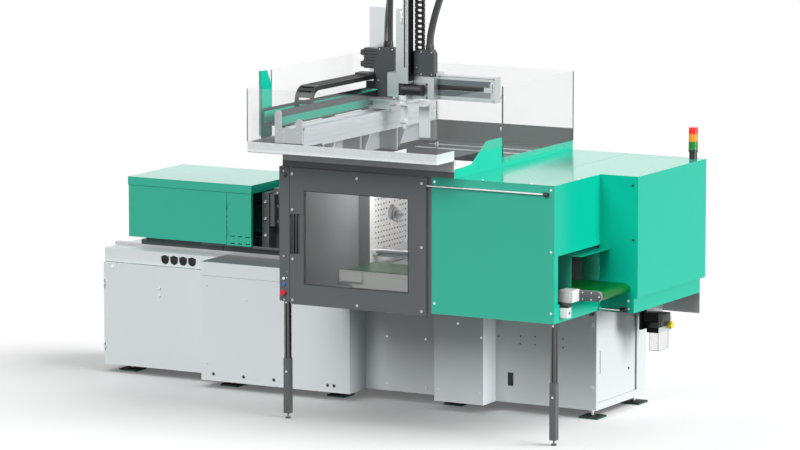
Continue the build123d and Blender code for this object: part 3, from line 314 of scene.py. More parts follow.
class Shape:
    """Solid forms gathered into one mesh. All sizes are in millimetres."""

    def __init__(self):
        self.mesh = bmesh.new()

    def take(self, bit, spot=None):
        bmesh.ops.transform(bit, matrix=spot or Matrix(), verts=bit.verts)
        bmesh.ops.remove_doubles(bit, verts=bit.verts, dist=0.001)
        bmesh.ops.recalc_face_normals(bit, faces=bit.faces)
        kept = bpy.data.meshes.new("bit")
        bit.to_mesh(kept)
        bit.free()
        self.mesh.from_mesh(kept)
        bpy.data.meshes.remove(kept)
        return self

    def block(self, x0, x1, y0, y1, z0, z1, edge=1.0):
        bit = bmesh.new()
        bmesh.ops.create_cube(bit, size=1.0)
        bmesh.ops.scale(bit, vec=(x1 - x0, y1 - y0, z1 - z0), verts=bit.verts)
        centre = ((x0 + x1) / 2, (y0 + y1) / 2, (z0 + z1) / 2)
        bmesh.ops.translate(bit, vec=centre, verts=bit.verts)
        rounded(bit, edge)
        return self.take(bit)

    def border(self, x0, x1, y0, y1, z0, z1, width, edge):
        """A flat border round a rectangle that faces the front."""
        for foot, head in ((z1 - width, z1), (z0, z0 + width)):
            self.block(x0, x1, y0, y1, foot, head, edge)
        for left, right in ((x0, x0 + width), (x1 - width, x1)):
            self.block(left, right, y0, y1, z0 + width, z1 - width, edge)
        return self

    def turned(self, place, toward, profile, steps=20):
        """A form turned on a lathe, from its profile of radii and heights."""
        bit = bmesh.new()
        line = [bit.verts.new((radius, 0.0, height)) for radius, height in profile]
        edges = [bit.edges.new(pair) for pair in zip(line, line[1:])]
        spin = {"cent": (0, 0, 0), "axis": (0, 0, 1), "angle": math.tau, "steps": steps, "use_merge": True}
        bmesh.ops.spin(bit, geom=line + edges, **spin)
        turn = Vector(toward).to_track_quat("Z", "Y").to_matrix().to_4x4()
        return self.take(bit, Matrix.Translation(place) @ turn)

    def rod(self, start, end, radius, edge=1.0, steps=20):
        way = Vector(end) - Vector(start)
        top = way.length
        flat = radius - edge
        profile = [(0, 0), (flat, 0), (radius, edge), (radius, top - edge), (flat, top), (0, top)]
        return self.turned(start, way, profile, steps)

    def plate(self, outline, start, way, edge=0.6):
        """A plate cut to an outline of points, as thick as the way it is pushed."""
        bit = bmesh.new()
        face = bit.faces.new([bit.verts.new(Vector(start) + Vector(point)) for point in outline])
        pushed = bmesh.ops.extrude_face_region(bit, geom=[face])["geom"]
        moved = [part for part in pushed if isinstance(part, bmesh.types.BMVert)]
        bmesh.ops.translate(bit, vec=way, verts=moved)
        rounded(bit, edge)
        return self.take(bit)

    def screws(self, places, toward, radius=10, height=5):
        """Pan heads with a socket."""
        head = [(share * radius, rise * height) for share, rise in PAN_HEAD]
        for place in places:
            self.turned(place, toward, head, 18)
        return self


def on_front(y, places):
    """Places given by their x and z, on a face that looks to the front."""
    return [(x, y, z) for x, z in places]


def piece(name, shape, finish, body):
    """Turns a shape into an object, in metres, that rides on a body."""
    bmesh.ops.scale(shape.mesh, vec=(0.001, 0.001, 0.001), verts=shape.mesh.verts)
    mesh = bpy.data.meshes.new(name)
    for face in shape.mesh.faces:
        face.smooth = True
    shape.mesh.to_mesh(mesh)
    shape.mesh.free()
    mesh.set_sharp_from_angle(angle=math.radians(32))
    mesh.materials.append(finish.owner)
    made = bpy.data.objects.new(name, mesh)
    bpy.context.scene.collection.objects.link(made)
    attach(made, body)
    return made


light_coat = powder_coat("light_coat", LIGHT, 0.36)
zinc = bare_metal("zinc", (0.80, 0.81, 0.82, 1.0), 0.34)
black_plastic = moulded("black_plastic", tint(30, 30, 31), 0.42)
white_plastic = moulded("white_plastic", tint(226, 227, 227))
dressed(["base_frame", "base_front_panel", "base_end_panel", "terminal_box"], light_coat)

base_bolts = [(120, 482), (457, 486), (541, 543), (120, 120), (461, 115)]
box_bolts = [(843, 670), (1041, 577), (1028, 156), (668, 156)]
base_screws = Shape().screws(on_front(BASE_FACE, base_bolts), FRONT, 11, 6)
base_screws.screws(on_front(BOX_FACE, box_bolts), FRONT, 10, 5)
piece("base_screws", base_screws, zinc, "machine")
plug_places = [(1082, 561), (1267, 576), (1388, 583), (1264, 520), (1389, 523), (1623, 584), (1624, 519)]
plugs = Shape().screws(on_front(BASE_FACE, plug_places), FRONT, 6, 3)
plugs.screws([(1886, 839, 299)], RIGHT, 9, 5)
piece("base_plugs", plugs, black_plastic, "machine")
plates = Shape()
for x, z in ((1846, 693), (1849, 215)):
    plates.block(x, x + 35, BASE_FACE - 3, BASE_FACE, z, z + 35, 0.8)
piece("corner_plates", plates, white_plastic, "machine")
vent = Shape().block(1160, 1208, 264.5, 266.8, 192, 294, 0.5)
for row in range(7):
    vent.block(1163, 1205, 261, 266, 198 + row * 13.5, 204 + row * 13.5, 1.5)
piece("base_vent", vent, black_plastic, "machine")
rim = Shape().border(1154, 1214, BASE_FACE - 3.5, BASE_FACE, 186, 300, 6, 1.2)
piece("base_vent_rim", rim, light_coat, "machine")


# ---- Levelling feet. A square rubber pad with a green lower layer, and a zinc-plated
# stud and lock nut that screw up into the frame.
LAYER_TOP, PAD_TOP = 0.0055, 0.0222
feet = Finish("levelling_feet")
height = feet.place()[2]
rubber = feet.blended(height < LAYER_TOP, tint(40, 41, 42), tint(18, 130, 105))
metallic = height > PAD_TOP
feet.paint(feet.blended(metallic, rubber, (0.72, 0.73, 0.74, 1.0)))
feet.feed(feet.shader.inputs["Metallic"], metallic)
feet.feed(feet.shader.inputs["Roughness"], 0.62 - metallic * 0.32 + feet.grain(0.006) * 0.1)
feet.texture(0.0004, 0.2, feet.grain(0.003))
dressed(["levelling_feet"], feet)


# ---- Cabinets. Two gray sheet cabinets carry the injection unit. The left one opens at
# the front and has four vents. The middle one has black plugs in its lower holes, screws in
# the gray of its coat, and a darker top sheet.
CABINET_FACE = 20
SEAM, FOLD, TOP_SHEET = (0.8695, 0.8735), (0.8705, 0.8725), 0.9795
left_coat = powder_coat("left_coat", LIGHT, 0.36)
# painted shade: a thin dark line across the left cabinet and its door where the sheets meet, for the shade
# in the gap between them
seam = left_coat.place()[2].within(*SEAM)
left_coat.paint(left_coat.blended(seam, LIGHT, tint(78, 83, 85)))
dressed(["left_cabinet", "left_cabinet_door"], left_coat)
cabinet_coat = powder_coat("cabinet_coat", LIGHT, 0.36)
height = cabinet_coat.place()[2]
# painted shade: a thin darker gray line along the fold of the middle cabinet, for the shade at the crease
fold = cabinet_coat.blended(height.within(*FOLD), LIGHT, tint(150, 156, 158))
cabinet_coat.paint(cabinet_coat.blended(height > TOP_SHEET, fold, tint(112, 118, 120)))
dressed(["middle_cabinet"], cabinet_coat)
cap = [(0, 3), (7, 3), (9, 1.5), (13, 1), (13, 0), (0, 0)]
plugs = Shape()
for x in (-1277, -1007, -737, -262, -206):
    plugs.turned((x, CABINET_FACE, 108), FRONT, cap)
piece("cabinet_plugs", plugs, black_plastic, "machine")
cabinet_bolts = [(-1336, 798), (-1335, 189), (-982, 709), (-120, 798)]
cabinet_screws = Shape().screws(on_front(CABINET_FACE, cabinet_bolts), FRONT, 9, 4)
piece("cabinet_screws", cabinet_screws, light_coat, "machine")
door_screw = Shape().screws([(-2330, 240, 839)], FRONT, 11, 4)
piece("cabinet_door_screw", door_screw, zinc, "cabinet_door")
lock = [(0, 1.5), (3, 1.5), (3.4, 3), (8, 3), (9.5, 1.5), (9.5, 0), (0, 0)]
locks = Shape()
for z in (700, 640):
    locks.turned((-1897, 236, z), FRONT, lock)
    locks.block(-1898.2, -1895.8, 231.5, 236, z - 6, z + 6, 0.4)
piece("cabinet_locks", locks, zinc, "cabinet_door")
grid = Shape().block(-1905, -1575, 272, 276, 882, 960, 0.8)
for vent in range(4):
    centre = -1861 + vent * 82
    for row in range(5):
        grid.block(centre - 34, centre + 34, 267, 272, 896 + row * 12, 899 + row * 12, 0.6)
# partly painted shade: the vent grid is black plastic, painted a deeper black for the shade in the vents'
# hollows
vent_shade_black = moulded("vent_shade_black", tint(10, 10, 11), 0.6)
piece("vent_grid", grid, vent_shade_black, "machine")


# ---- Injection unit. Green sheet housing on a sliding sled, with a lid, a hinged door at
# the nozzle end, and the turned barrel and screw inside.
GREEN = tint(6, 180, 152)
DARK = tint(79, 84, 87)
GREEN_SHEET = {"roughness": 0.24, "gloss": 0.2, "lacquer": 0.85}
SKIRT_TOP = 1.0855


def green_sheet(name):
    """Glossy green paint, with painted shade: a little grayer on the faces that look to the front."""
    sheet = powder_coat(name, GREEN, **GREEN_SHEET)
    front = sheet.facing()[1] < -0.5
    # painted shade: the faces that look to the front get a grayer green
    sheet.shade = sheet.blended(front, GREEN, tint(58, 172, 147))
    sheet.paint(sheet.shade)
    return sheet


green_coat = green_sheet("green_coat")
dark_coat = powder_coat("dark_coat", DARK, 0.4)
turned_steel = bare_metal("turned_steel", (0.62, 0.62, 0.63, 1.0), 0.3, (8.0, 1.0, 1.0))
dressed(["injection_lid", "nozzle_door"], green_coat)
cover_coat = green_sheet("cover_coat")
skirt = cover_coat.place()[2] < SKIRT_TOP
cover_coat.paint(cover_coat.blended(skirt, cover_coat.shade, tint(92, 97, 100)))
dressed(["injection_cover"], cover_coat)
dressed(["injection_sled", "screw_drive"], dark_coat)
dressed(["guide_ways", "barrel", "plasticising_screw"], turned_steel)
# painted shade: black strips in the gaps of the door's hinge, for the shade in them
gaps = Shape()
for row in range(6):
    gaps.block(-1299.5, -1296, 264.4, 266.4, 1159 + row * 44, 1187 + row * 44, 0.4)
piece("door_hinge_gap_shade", gaps, black_plastic, "nozzle_door")
sled_bolts = on_front(402, [(-1030, z) for z in (1160, 1290, 1420)])
sled_bolts += on_front(472, [(-965, 1260), (-965, 1380), (-965, 1480), (-870, 1260), (-870, 1480)])
piece("sled_bolts", Shape().screws(sled_bolts, FRONT, 13, 9), zinc, "injection_unit")
tray = Shape().block(-1540, -842, 288, 380, 1066, 1069, 0.8)
tray.block(-1540, -842, 288, 291, 1069, 1084, 0.8)
piece("drip_tray", tray, dark_coat, "injection_unit")


# ---- Clamp unit. Ground cast platens on chromed tie bars, pushed by a ram. The fixed
# platen's face carries a turned coupling and a field of tapped holes. A small lamp over the
# belt lights only what shows through the window.
PLATEN_FACE = -68
CENTRE_Y, CENTRE_Z = 682, 1370
COUPLING_Y, COUPLING_Z = 729, 1350
TAP_PITCH, TIE_BAR = 42.5, 270
ground_casting = bare_metal("ground_casting", (0.93, 0.91, 0.89, 1.0), 0.46, (1.0, 1.0, 6.0))
ground_casting.fix("Metallic", 0.1)
polished_rod = bare_metal("polished_rod", (0.8, 0.8, 0.81, 1.0), 0.14, (10.0, 1.0, 1.0))
dressed(["fixed_platen", "moving_platen", "cylinder_platen"], ground_casting)
dressed(["clamp_ram", "tie_bars"], polished_rod)
dressed(["ejector"], turned_steel)
nose = [(0, 74), (12, 74), (14, 70), (14, 48), (30, 44), (34, 38), (34, 14)]
nose += [(52, 12), (55, 8), (55, 0), (0, 0)]
coupling = Shape().turned((PLATEN_FACE, COUPLING_Y, COUPLING_Z), RIGHT, nose, 28)
coupling.rod((-60, COUPLING_Y, 1300), (-60, COUPLING_Y, 1392), 9)
piece("platen_coupling", coupling, turned_steel, "machine")


def on_platen(out, rise):
    """Whether a hole there is clear of the coupling, the nozzle's bore and the tie bars."""
    from_coupling = math.hypot(CENTRE_Y + out - COUPLING_Y, CENTRE_Z + rise - COUPLING_Z)
    from_tie_bar = math.hypot(abs(out) - TIE_BAR, abs(rise) - TIE_BAR)
    return from_coupling > 88 and math.hypot(out, rise) > 78 and from_tie_bar > 60


# where an even column meets an even row, the hole is wider and square-cut
# painted shade: the tapped holes are drawn as thin black discs and squares on the face, for the shade
# inside them
taps = Shape()
tap = [(0, 0.3), (6, 0.3), (7, 0.8), (8.5, 0), (0, 0)]
for column in range(-6, 7):
    for row in range(-6, 7):
        out, rise = column * TAP_PITCH, row * TAP_PITCH
        y, z = CENTRE_Y + out, CENTRE_Z + rise
        if not on_platen(out, rise):
            continue
        if column % 2 or row % 2:
            taps.turned((PLATEN_FACE, y, z), RIGHT, tap, 10)
        else:
            taps.block(PLATEN_FACE - 8, PLATEN_FACE - 6, y - 7.8, y + 7.8, z - 7.8, z + 7.8, 0.3)
piece("platen_tap_shade", taps, black_plastic, "machine")
inside = bpy.data.lights.new("inside_lamp", "AREA")
inside.size = 0.4
inside.energy = 9.0
inside_lamp = bpy.data.objects.new("inside_lamp", inside)
inside_lamp.location = (0.40, 0.22, 1.80)
inside_lamp.rotation_mode = "QUATERNION"
inside_lamp.rotation_quaternion = Vector((0.47, -0.48, 0.42)).to_track_quat("Z", "Y")
bpy.context.scene.collection.objects.link(inside_lamp)
inside_only = bpy.data.collections.new("inside_only")
lamp_lights = ["fixed_platen", "moving_platen", "tie_bars", "conveyor_bed", "conveyor_belt"]
for name in (*lamp_lights, "guard_liner"):
    inside_only.objects.link(nodes[name])
inside_lamp.light_linking.receiver_collection = inside_only


# ---- Guard door and control post. The door is one dark folded plate on a rod, under a fixed
# rail, with dull screw heads and a tinted window in a rubber gasket. The post beside it has
# two buttons, an emergency stop and small lamps.
DOOR_FACE, POST_FACE = -856, -852
POST_X = -133
POST_SIDE = 1.04
dressed(["guard_door", "control_post"], dark_coat)
liner_coat = powder_coat("liner_coat", LIGHT, 0.4)
# painted shade: the liner's light coat is painted mid gray for the shade inside the guard, and its strip
# beside the door's right edge dark for the door's shadow
shaded_edge_post = liner_coat.place()[0] > POST_SIDE
liner_coat.paint(liner_coat.blended(shaded_edge_post, tint(132, 136, 136), DARK))
dressed(["guard_liner"], liner_coat)
left, right, middle = -58, 1033, 492
low, high = 905, 1850
heads = [(left, low), (middle, low), (right, low), (left, high), (middle, high), (right, high)]
heads += [(left, 1583), (left, 1213), (right, 1377.5)]
dull_zinc = bare_metal("dull_zinc", (0.42, 0.43, 0.44, 1.0), 0.5)
door_screws = Shape().screws(on_front(DOOR_FACE, heads), FRONT, 11.5, 4)
piece("door_screw_heads", door_screws, dull_zinc, "guard_door")
head_rail = Shape().block(-80, 1100, -827, -823, 1850, 1899.5, 0.5)
piece("door_head_rail", head_rail, dark_coat, "machine")
gasket = Shape().border(38, 922, -854, -851, 1029, 1732, 6, 1.0)
piece("window_gasket", gasket, black_plastic, "guard_door")
# painted shade: black strips in the door's grip recess, for the deep shade in its slot and hollow
grip = Shape().block(-57, -46, -850, -836, 1256, 1548, 2.5)
grip.block(-42, -22, -846, -838, 1256, 1548, 2.0)
piece("grip_painted_shade", grip, black_plastic, "guard_door")

button_colours = {
    "button_white": (226, 228, 228),
    "button_blue": (14, 112, 205),
    "emergency_stop": (214, 18, 46),
}
for name, colour in button_colours.items():
    dressed([name], moulded(name + "_plastic", tint(*colour), 0.3))
collar = [(11.6, 0), (11.6, 4), (14, 4.6), (16.5, 3.4), (17, 0), (11.6, 0)]
collars = Shape()
for z in (1063, 1017, 959):
    collars.turned((POST_X, POST_FACE, z), FRONT, collar, 28)
piece("button_collars", collars, dark_coat, "machine")
lens = [(0, 3), (2.5, 2.6), (4, 1.2), (4.4, 0), (0, 0)]
post_lamps = {
    "green": ((30, 190, 90), (1111, 931)),
    "white": ((235, 236, 236), (1068,)),
    "blue": ((30, 120, 210), (1021,)),
    "red": ((225, 30, 40), (965,)),
}
for name, (colour, heights) in post_lamps.items():
    shape = Shape()
    for z in heights:
        shape.turned((-108, POST_FACE, z), FRONT, lens, 14)
    lamp = moulded(name + "_lens", tint(*colour), 0.2)
    piece("post_lamp_" + name, shape, lamp, "machine")
post_places = [(POST_X, z) for z in (1868, 1230, 905)]
post_screws = Shape().screws(on_front(POST_FACE, post_places), FRONT, 8, 4)
piece("post_screws", post_screws, dull_zinc, "machine")


# ---- Green housings of the clamp end and the belt outlet. Folded sheets with small bright
# screws along their edges, black plugs, and the rods' black end caps. The low apron at the
# back of the block is gray.
BOX_COVER_FACE, BLOCK_FACE = -828, -94
TUNNEL_SIDE = (-97.4, -95.4)
APRON_FRONT, APRON_TOP = 1.02, 0.9
dressed(["front_box_cover"], green_coat)
block_coat = powder_coat("block_coat", GREEN, **GREEN_SHEET)
across, back, height = block_coat.place()
apron = (back > APRON_FRONT) * (height < APRON_TOP)
block_coat.paint(block_coat.blended(apron, GREEN, tint(186, 191, 194)))
dressed(["block_cover"], block_coat)
# painted shade: a dark sheet at the back of the belt tunnel, beyond its green cheek, for the shade inside
# the tunnel
lining = Shape().block(1250, 1962, *TUNNEL_SIDE, 900, 1350, 0.5)
piece("tunnel_painted_shade", lining, dark_coat, "machine")
cheek = Shape().block(1962, 2102, *TUNNEL_SIDE, 900, 1350, 0.5)
piece("tunnel_cheek", cheek, green_coat, "machine")
edge_screws = on_front(BOX_COVER_FACE, [(2077, 1866), (2080, 1417), (2082, 969)])
flat_screws = on_front(BOX_COVER_FACE, [(1124, 1866), (1124, 969)])
block_screws = on_front(BLOCK_FACE, [(2340, 979), (2342, 920)])
roof_screws = [(1500, -790, 1900), (1900, -790, 1900), (2080, -400, 1900)]
cover_screws = Shape().screws(edge_screws, FRONT, 9, 4).screws(flat_screws, FRONT, 9, 1.5)
cover_screws.screws(block_screws, FRONT, 9, 4).screws(roof_screws, UP, 8, 3)
piece("cover_screws", cover_screws, zinc, "machine")
caps = Shape().screws(on_front(BLOCK_FACE, [(2371, 1833), (2378, 1432)]), FRONT, 9, 6)
small_cap = [(0, 0), (13, 0), (15, 2), (15, 36), (12, 40), (0, 40)]
large_cap = [(0, 0), (17, 0), (19, 2), (19, 44), (16, 48), (0, 48)]
caps.turned((2022, -840, 1835), RIGHT, small_cap, 24)
caps.turned((2286, -112, 912), RIGHT, large_cap, 24)
caps.block(2027, 2069, -110, -95, 846, 880, 3)
piece("rod_caps", caps, black_plastic, "machine")
dressed(["guide_rods"], polished_rod)


# ---- Legs of the guard. Slotted dark profiles in square sleeves, each with two clamping
# screws at the front.
dark_profile = bare_metal("dark_profile", (0.12, 0.12, 0.12, 1.0), 0.42, (1.0, 1.0, 8.0))
dressed(["leg_profiles"], dark_profile)
dressed(["leg_sleeves"], dark_coat)
LEG_PLACES = (-132, 2094)
leg_screws = Shape().screws([(x, -823, 355) for x in LEG_PLACES], FRONT, 8, 4)
leg_screws.screws([(x, -819, 878) for x in LEG_PLACES], FRONT, 8, 4)
piece("leg_screws", leg_screws, zinc, "machine")


# ---- Conveyor. A green belt over two rollers on a white bed, with a dark cover over its
# drive and white boxes for the motor and its control.
DRIVE_X, DRIVE_Z, COVER_RADIUS = 2318, 1075, 36
RIM_START, RIM_BACK = 2.1, -0.54
belt_rubber = moulded("belt_rubber", tint(0, 104, 36), 0.3)
belt_rubber.fix("Specular IOR Level", 0.15)
dressed(["conveyor_belt"], belt_rubber)
dressed(["idler_roller", "drive_roller"], turned_steel)
bed_white = tint(226, 227, 224)
bed_coat = powder_coat("bed_coat", bed_white, 0.35)
across, back, height = bed_coat.place()
rim = (across > RIM_START) * (back < RIM_BACK)
bed_coat.paint(bed_coat.blended(rim, bed_white, tint(128, 133, 135)))
dressed(["conveyor_bed"], bed_coat)
dressed(["belt_motor"], white_plastic)
outline = [(2108, 0, -COVER_RADIUS), (2108, 0, COVER_RADIUS), (DRIVE_X, 0, COVER_RADIUS)]
for step in range(1, 12):
    angle = math.pi * (0.5 - step / 12)
    x = DRIVE_X + COVER_RADIUS * math.cos(angle)
    outline.append((x, 0, COVER_RADIUS * math.sin(angle)))
outline.append((DRIVE_X, 0, -COVER_RADIUS))
cover_plate = Shape().plate(outline, (0, -568, DRIVE_Z), (0, -3, 0), 1.0)
piece("drive_cover_plate", cover_plate, dark_coat, "machine")
cover_bolts = [(x, DRIVE_Z + dz) for x in (2136, 2206, 2276) for dz in (25, -25)]
cover_bolts.append((2340, DRIVE_Z))
motor_bolts = [(x, z) for x in (2080, 2166) for z in (1048, 1108)]
fittings = Shape().screws(on_front(-571, cover_bolts), FRONT, 6, 3)
fittings.screws(on_front(-680, motor_bolts), FRONT, 5, 2)
piece("drive_cover_screws", fittings, zinc, "machine")
gland = [(0, -2), (7, -2), (8, 1), (11, 2), (12, 0), (0, 0)]
socket = Shape().turned((2172, -712, 965), RIGHT, gland)
socket.block(2104, 2175, -741, -681, 1003, 1034, 4)
piece("motor_gland", socket, black_plastic, "machine")


# ---- Roof. A light tray carries the clear screens round the robot. Its lower band and its
# floor are darker, and a dark rail with two strips runs under the rear edge of the deck.
# Green sheets close the right side and prop the left screen.
BAND_TOP, FLOOR_LOW, FLOOR_TOP = 1.945, 2.0249, 2.0285
tray_light = tint(222, 228, 229)
tray_coat = powder_coat("tray_coat", tray_light, 0.4)
height = tray_coat.place()[2]
band = tray_coat.blended(height > BAND_TOP, tint(92, 96, 98), tint(228, 233, 234))
tray_floor = tray_coat.blended(height > FLOOR_LOW, band, tint(84, 87, 88))
tray_coat.paint(tray_coat.blended(height > FLOOR_TOP, tray_floor, tray_light))
dressed(["roof_tray"], tray_coat)
dressed(["roof_deck"], powder_coat("deck_coat", tint(40, 43, 44), 0.55, 0.1))
rear_rail = Shape().block(-150, 1100, 1058, 1064, 1752, 1899.5, 0.8)
piece("roof_rear_rail", rear_rail, dark_coat, "machine")
anodised = bare_metal("anodised", (0.66, 0.68, 0.69, 1.0), 0.38, (6.0, 6.0, 1.0))
strips = Shape()
for z0, z1 in ((1866, 1872), (1834, 1842)):
    strips.block(-100, 1098, 1054, 1058, z0, z1, 0.8)
piece("rear_rail_strips", strips, anodised, "machine")
dressed(["roof_panels"], green_coat)
upstand_screws = [(1287, y, 1940) for y in (-447, 45, 342, 627, 933)]
piece("upstand_screws", Shape().screws(upstand_screws, RIGHT, 8, 4), green_coat, "machine")
tray_screws = Shape().screws([(x, -1094, 2062) for x in (-180, 480, 1180)], FRONT, 7, 3)
tray_screws.block(1287, 1293, -815, -770, 1994, 2024, 1.5)
piece("tray_screws", tray_screws, white_plastic, "machine")


def clear_sheet(name, colour, opacity):
    acrylic = Finish(name)
    acrylic.paint(colour)
    acrylic.fix("Alpha", opacity)
    acrylic.feed(acrylic.shader.inputs["Roughness"], 0.05 + acrylic.grain(0.2) * 0.03)
    acrylic.texture(0.0002, 0.05, acrylic.grain(0.3))
    return acrylic


screen_acrylic = clear_sheet("screen_acrylic", tint(200, 202, 202), 0.09)
window_acrylic = clear_sheet("window_acrylic", tint(98, 100, 100), 0.22)
dressed(["clear_screens", "air_bowl"], screen_acrylic)
dressed(["door_window"], window_acrylic)
sawn_edge = moulded("sawn_acrylic_edge", tint(74, 82, 80), 0.3)
TRAY_TOP, UPSTAND_TOP, SCREEN_TOP, TALL_TOP = 2106, 1968, 2495, 2600
screen_corners = [
    (1290, -1097, TRAY_TOP, SCREEN_TOP),
    (1290, -86, TRAY_TOP, SCREEN_TOP),
    (1290, -78, UPSTAND_TOP, SCREEN_TOP),
    (1290, 1068, UPSTAND_TOP, SCREEN_TOP),
    (-294, 1075, TRAY_TOP, SCREEN_TOP),
    (-300, -892, TRAY_TOP, SCREEN_TOP),
    (-300, -742, TRAY_TOP, TALL_TOP),
]
edges = Shape()
for x, y, z0, z1 in screen_corners:
    edges.block(x - 3.4, x + 3.4, y - 2.6, y + 2.6, z0, z1, 0.8)
edges.block(-300, -294, -1099.5, -1094.5, TRAY_TOP, SCREEN_TOP, 0.8)
piece("screen_edges", edges, sawn_edge, "machine")
clamps = Shape()
for y in (-1080, -82):
    for z in (2180, 2420):
        clamps.block(1278, 1287, y - 14, y + 14, z - 16, z + 16, 2)
        clamps.screws([(1278, y, z)], LEFT, 7, 6)
clamps.block(1262, 1287, -1094, -1082, 2412, 2428, 1.5)
piece("screen_clamps", clamps, zinc, "machine")


# ---- Gantry. A painted beam on a gusseted stand, with a cable chain in a gray trough
# beside it and the carriage of the robot on its rails. The channels and slots of the kick
# beam are painted darker, a painted shade for their recesses.
BAND_LOW, BAND_HIGH, TROUGH_SIDE = 2.234, 2.292, -0.0485
BEAM_START, BEAM_END, BEAM_FRONT = 0.4, 1.008, 0.263
LOW_CHANNEL, HIGH_CHANNEL = (2.352, 2.395), (2.436, 2.478)
LOW_SLOT, HIGH_SLOT = (2.329, 2.335), (2.493, 2.499)
RACK_SIDE = 0.3644
beam_coat = powder_coat("beam_coat", tint(186, 191, 194), 0.4)
housing_coat = powder_coat("housing_coat", tint(66, 71, 74), 0.42, 0.35)
dressed(["gantry_beam"], beam_coat)
dressed(["drive_housing", "arm_drive_housing"], housing_coat)
trough_coat = powder_coat("trough_coat", DARK, 0.4)
across, back, height = trough_coat.place()
# painted shade: the trough is painted in a darkened copy of the dark gray, and a band of its side in a
# darkened copy of the green
green_band_in_shade = (across > TROUGH_SIDE) * height.within(BAND_LOW, BAND_HIGH)
trough_coat.paint(trough_coat.blended(green_band_in_shade, darker(DARK, 0.6), darker(GREEN, 0.62)))
dressed(["chain_trough"], trough_coat)
dressed(["cross_chain", "wrist_drive"], black_plastic)
dressed(["kick_carriage"], anodised)
profile = bare_metal("kick_profile", (0.66, 0.68, 0.69, 1.0), 0.38, (1.0, 6.0, 6.0))
across, back, height = profile.place()
front = (across > BEAM_START) * (back < BEAM_FRONT)
# painted shade: the channels and slots on the beam's front are painted darker, for the shade in their
# recesses
channels = front * (across < BEAM_END) * (height.within(*LOW_CHANNEL) + height.within(*HIGH_CHANNEL))
slots = front * (height.within(*LOW_SLOT) + height.within(*HIGH_SLOT))
shade = profile.blended(channels, tint(206, 211, 213), tint(118, 127, 131))
profile.paint(profile.blended(slots, shade, tint(66, 71, 74)))
dressed(["cross_carriage"], profile)
mast_finish = bare_metal("mast_finish", (0.62, 0.64, 0.65, 1.0), 0.38, (6.0, 6.0, 1.0))
rack = mast_finish.place()[0] > RACK_SIDE
mast_finish.paint(mast_finish.blended(rack, tint(198, 204, 206), tint(30, 32, 33)))
dressed(["arm_mast"], mast_finish)
liner = Shape().block(-200.5, -198.5, -1014, 1045, 2230, 2322, 0.4)
piece("trough_liner", liner, green_coat, "machine")
outline = [(20, 0, 1906), (70, 0, 1906), (138, 0, 2066), (20, 0, 2066)]
gussets = Shape()
for y in (-560, -20, 540):
    gussets.plate(outline, (0, y, 0), (0, 8, 0))
piece("stand_gussets", gussets, light_coat, "machine")
beam_bolts = [(142, y, 2185) for y in range(-980, 1000, 180)]
end_bolts = [(x, -1040, z) for x in (-78, -20, 100) for z in (2128, 2186)]
bolts = Shape().screws(beam_bolts, RIGHT, 5, 3).screws(end_bolts, FRONT, 6, 3)
piece("beam_bolts", bolts, zinc, "machine")

# the chain of the arm stands on the arm's drive housing
CHAIN_FOOT, LINK_PITCH, LINKS = 2690, 40, 20
links = Shape()
for link in range(LINKS):
    foot = CHAIN_FOOT + link * LINK_PITCH
    links.block(370, 440, 246, 282, foot, foot + 8)
    links.block(370, 440, 246, 282, foot + 28, foot + 36)
    links.block(370, 382, 246, 282, foot, foot + 36)
    links.block(428, 440, 246, 282, foot, foot + 36)
    links.block(378, 432, 252, 276, foot + 28, foot + 48)
arm_chain = piece("arm_cable_chain", links, black_plastic, "kick_unit")
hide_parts("arm_chain")
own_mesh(arm_chain)

groove = Shape().block(402, 1008, 267, 271, 2397, 2433, 0.8)
piece("kick_belt", groove, black_plastic, "cross_unit")
kick_bolts = [(1008, 262, z) for z in (2346, 2480)]
piece("kick_beam_bolts", Shape().screws(kick_bolts, FRONT, 5, 2), turned_steel, "cross_unit")
motor_fins = Shape()
for row in range(6):
    motor_fins.block(-164, -36, 404, 496, 2518 + row * 24, 2524 + row * 24, 1)
for z0, z1 in ((2518, 2556), (2606, 2644)):
    motor_fins.block(-200, -187, 424, 470, z0, z1, 3)
piece("motor_fins", motor_fins, black_plastic, "cross_unit")
housing_places = [(-20, 2660), (90, 2660), (90, 2380), (-30, 2420)]
housing_screws = Shape().screws(on_front(402, housing_places), FRONT, 5, 3)
piece("housing_screws", housing_screws, zinc, "cross_unit")


# ---- Arm. A light mast with its rail, scale and clip runs down through the kick carriage,
# and the gripper hangs under its turning wrist.
rail = Shape().block(331, 341, 147, 154, 2562, 3436, 1)
piece("mast_rail", rail, black_plastic, "arm")
strip = Shape().block(343, 350, 148, 153, 2562, 3436, 0.8)
piece("mast_scale", strip, white_plastic, "arm")
clip = Shape().block(292, 314, 154, 160, 2890, 2986, 2)
clip.screws([(303, 154, 2912), (303, 154, 2964)], FRONT, 6, 4)
clip.block(300, 320, 150, 156, 2930, 2946, 2)
piece("mast_clip", clip, zinc, "arm")
arm_places = [(452, 2682), (542, 2682), (452, 2515), (542, 2515)]
arm_screws = Shape().screws(on_front(196, arm_places), FRONT, 5, 3)
arm_screws.screws([(400, 222, 2560)], FRONT, 5, 3)
piece("arm_housing_screws", arm_screws, zinc, "kick_unit")
dressed(["gripper"], light_coat)


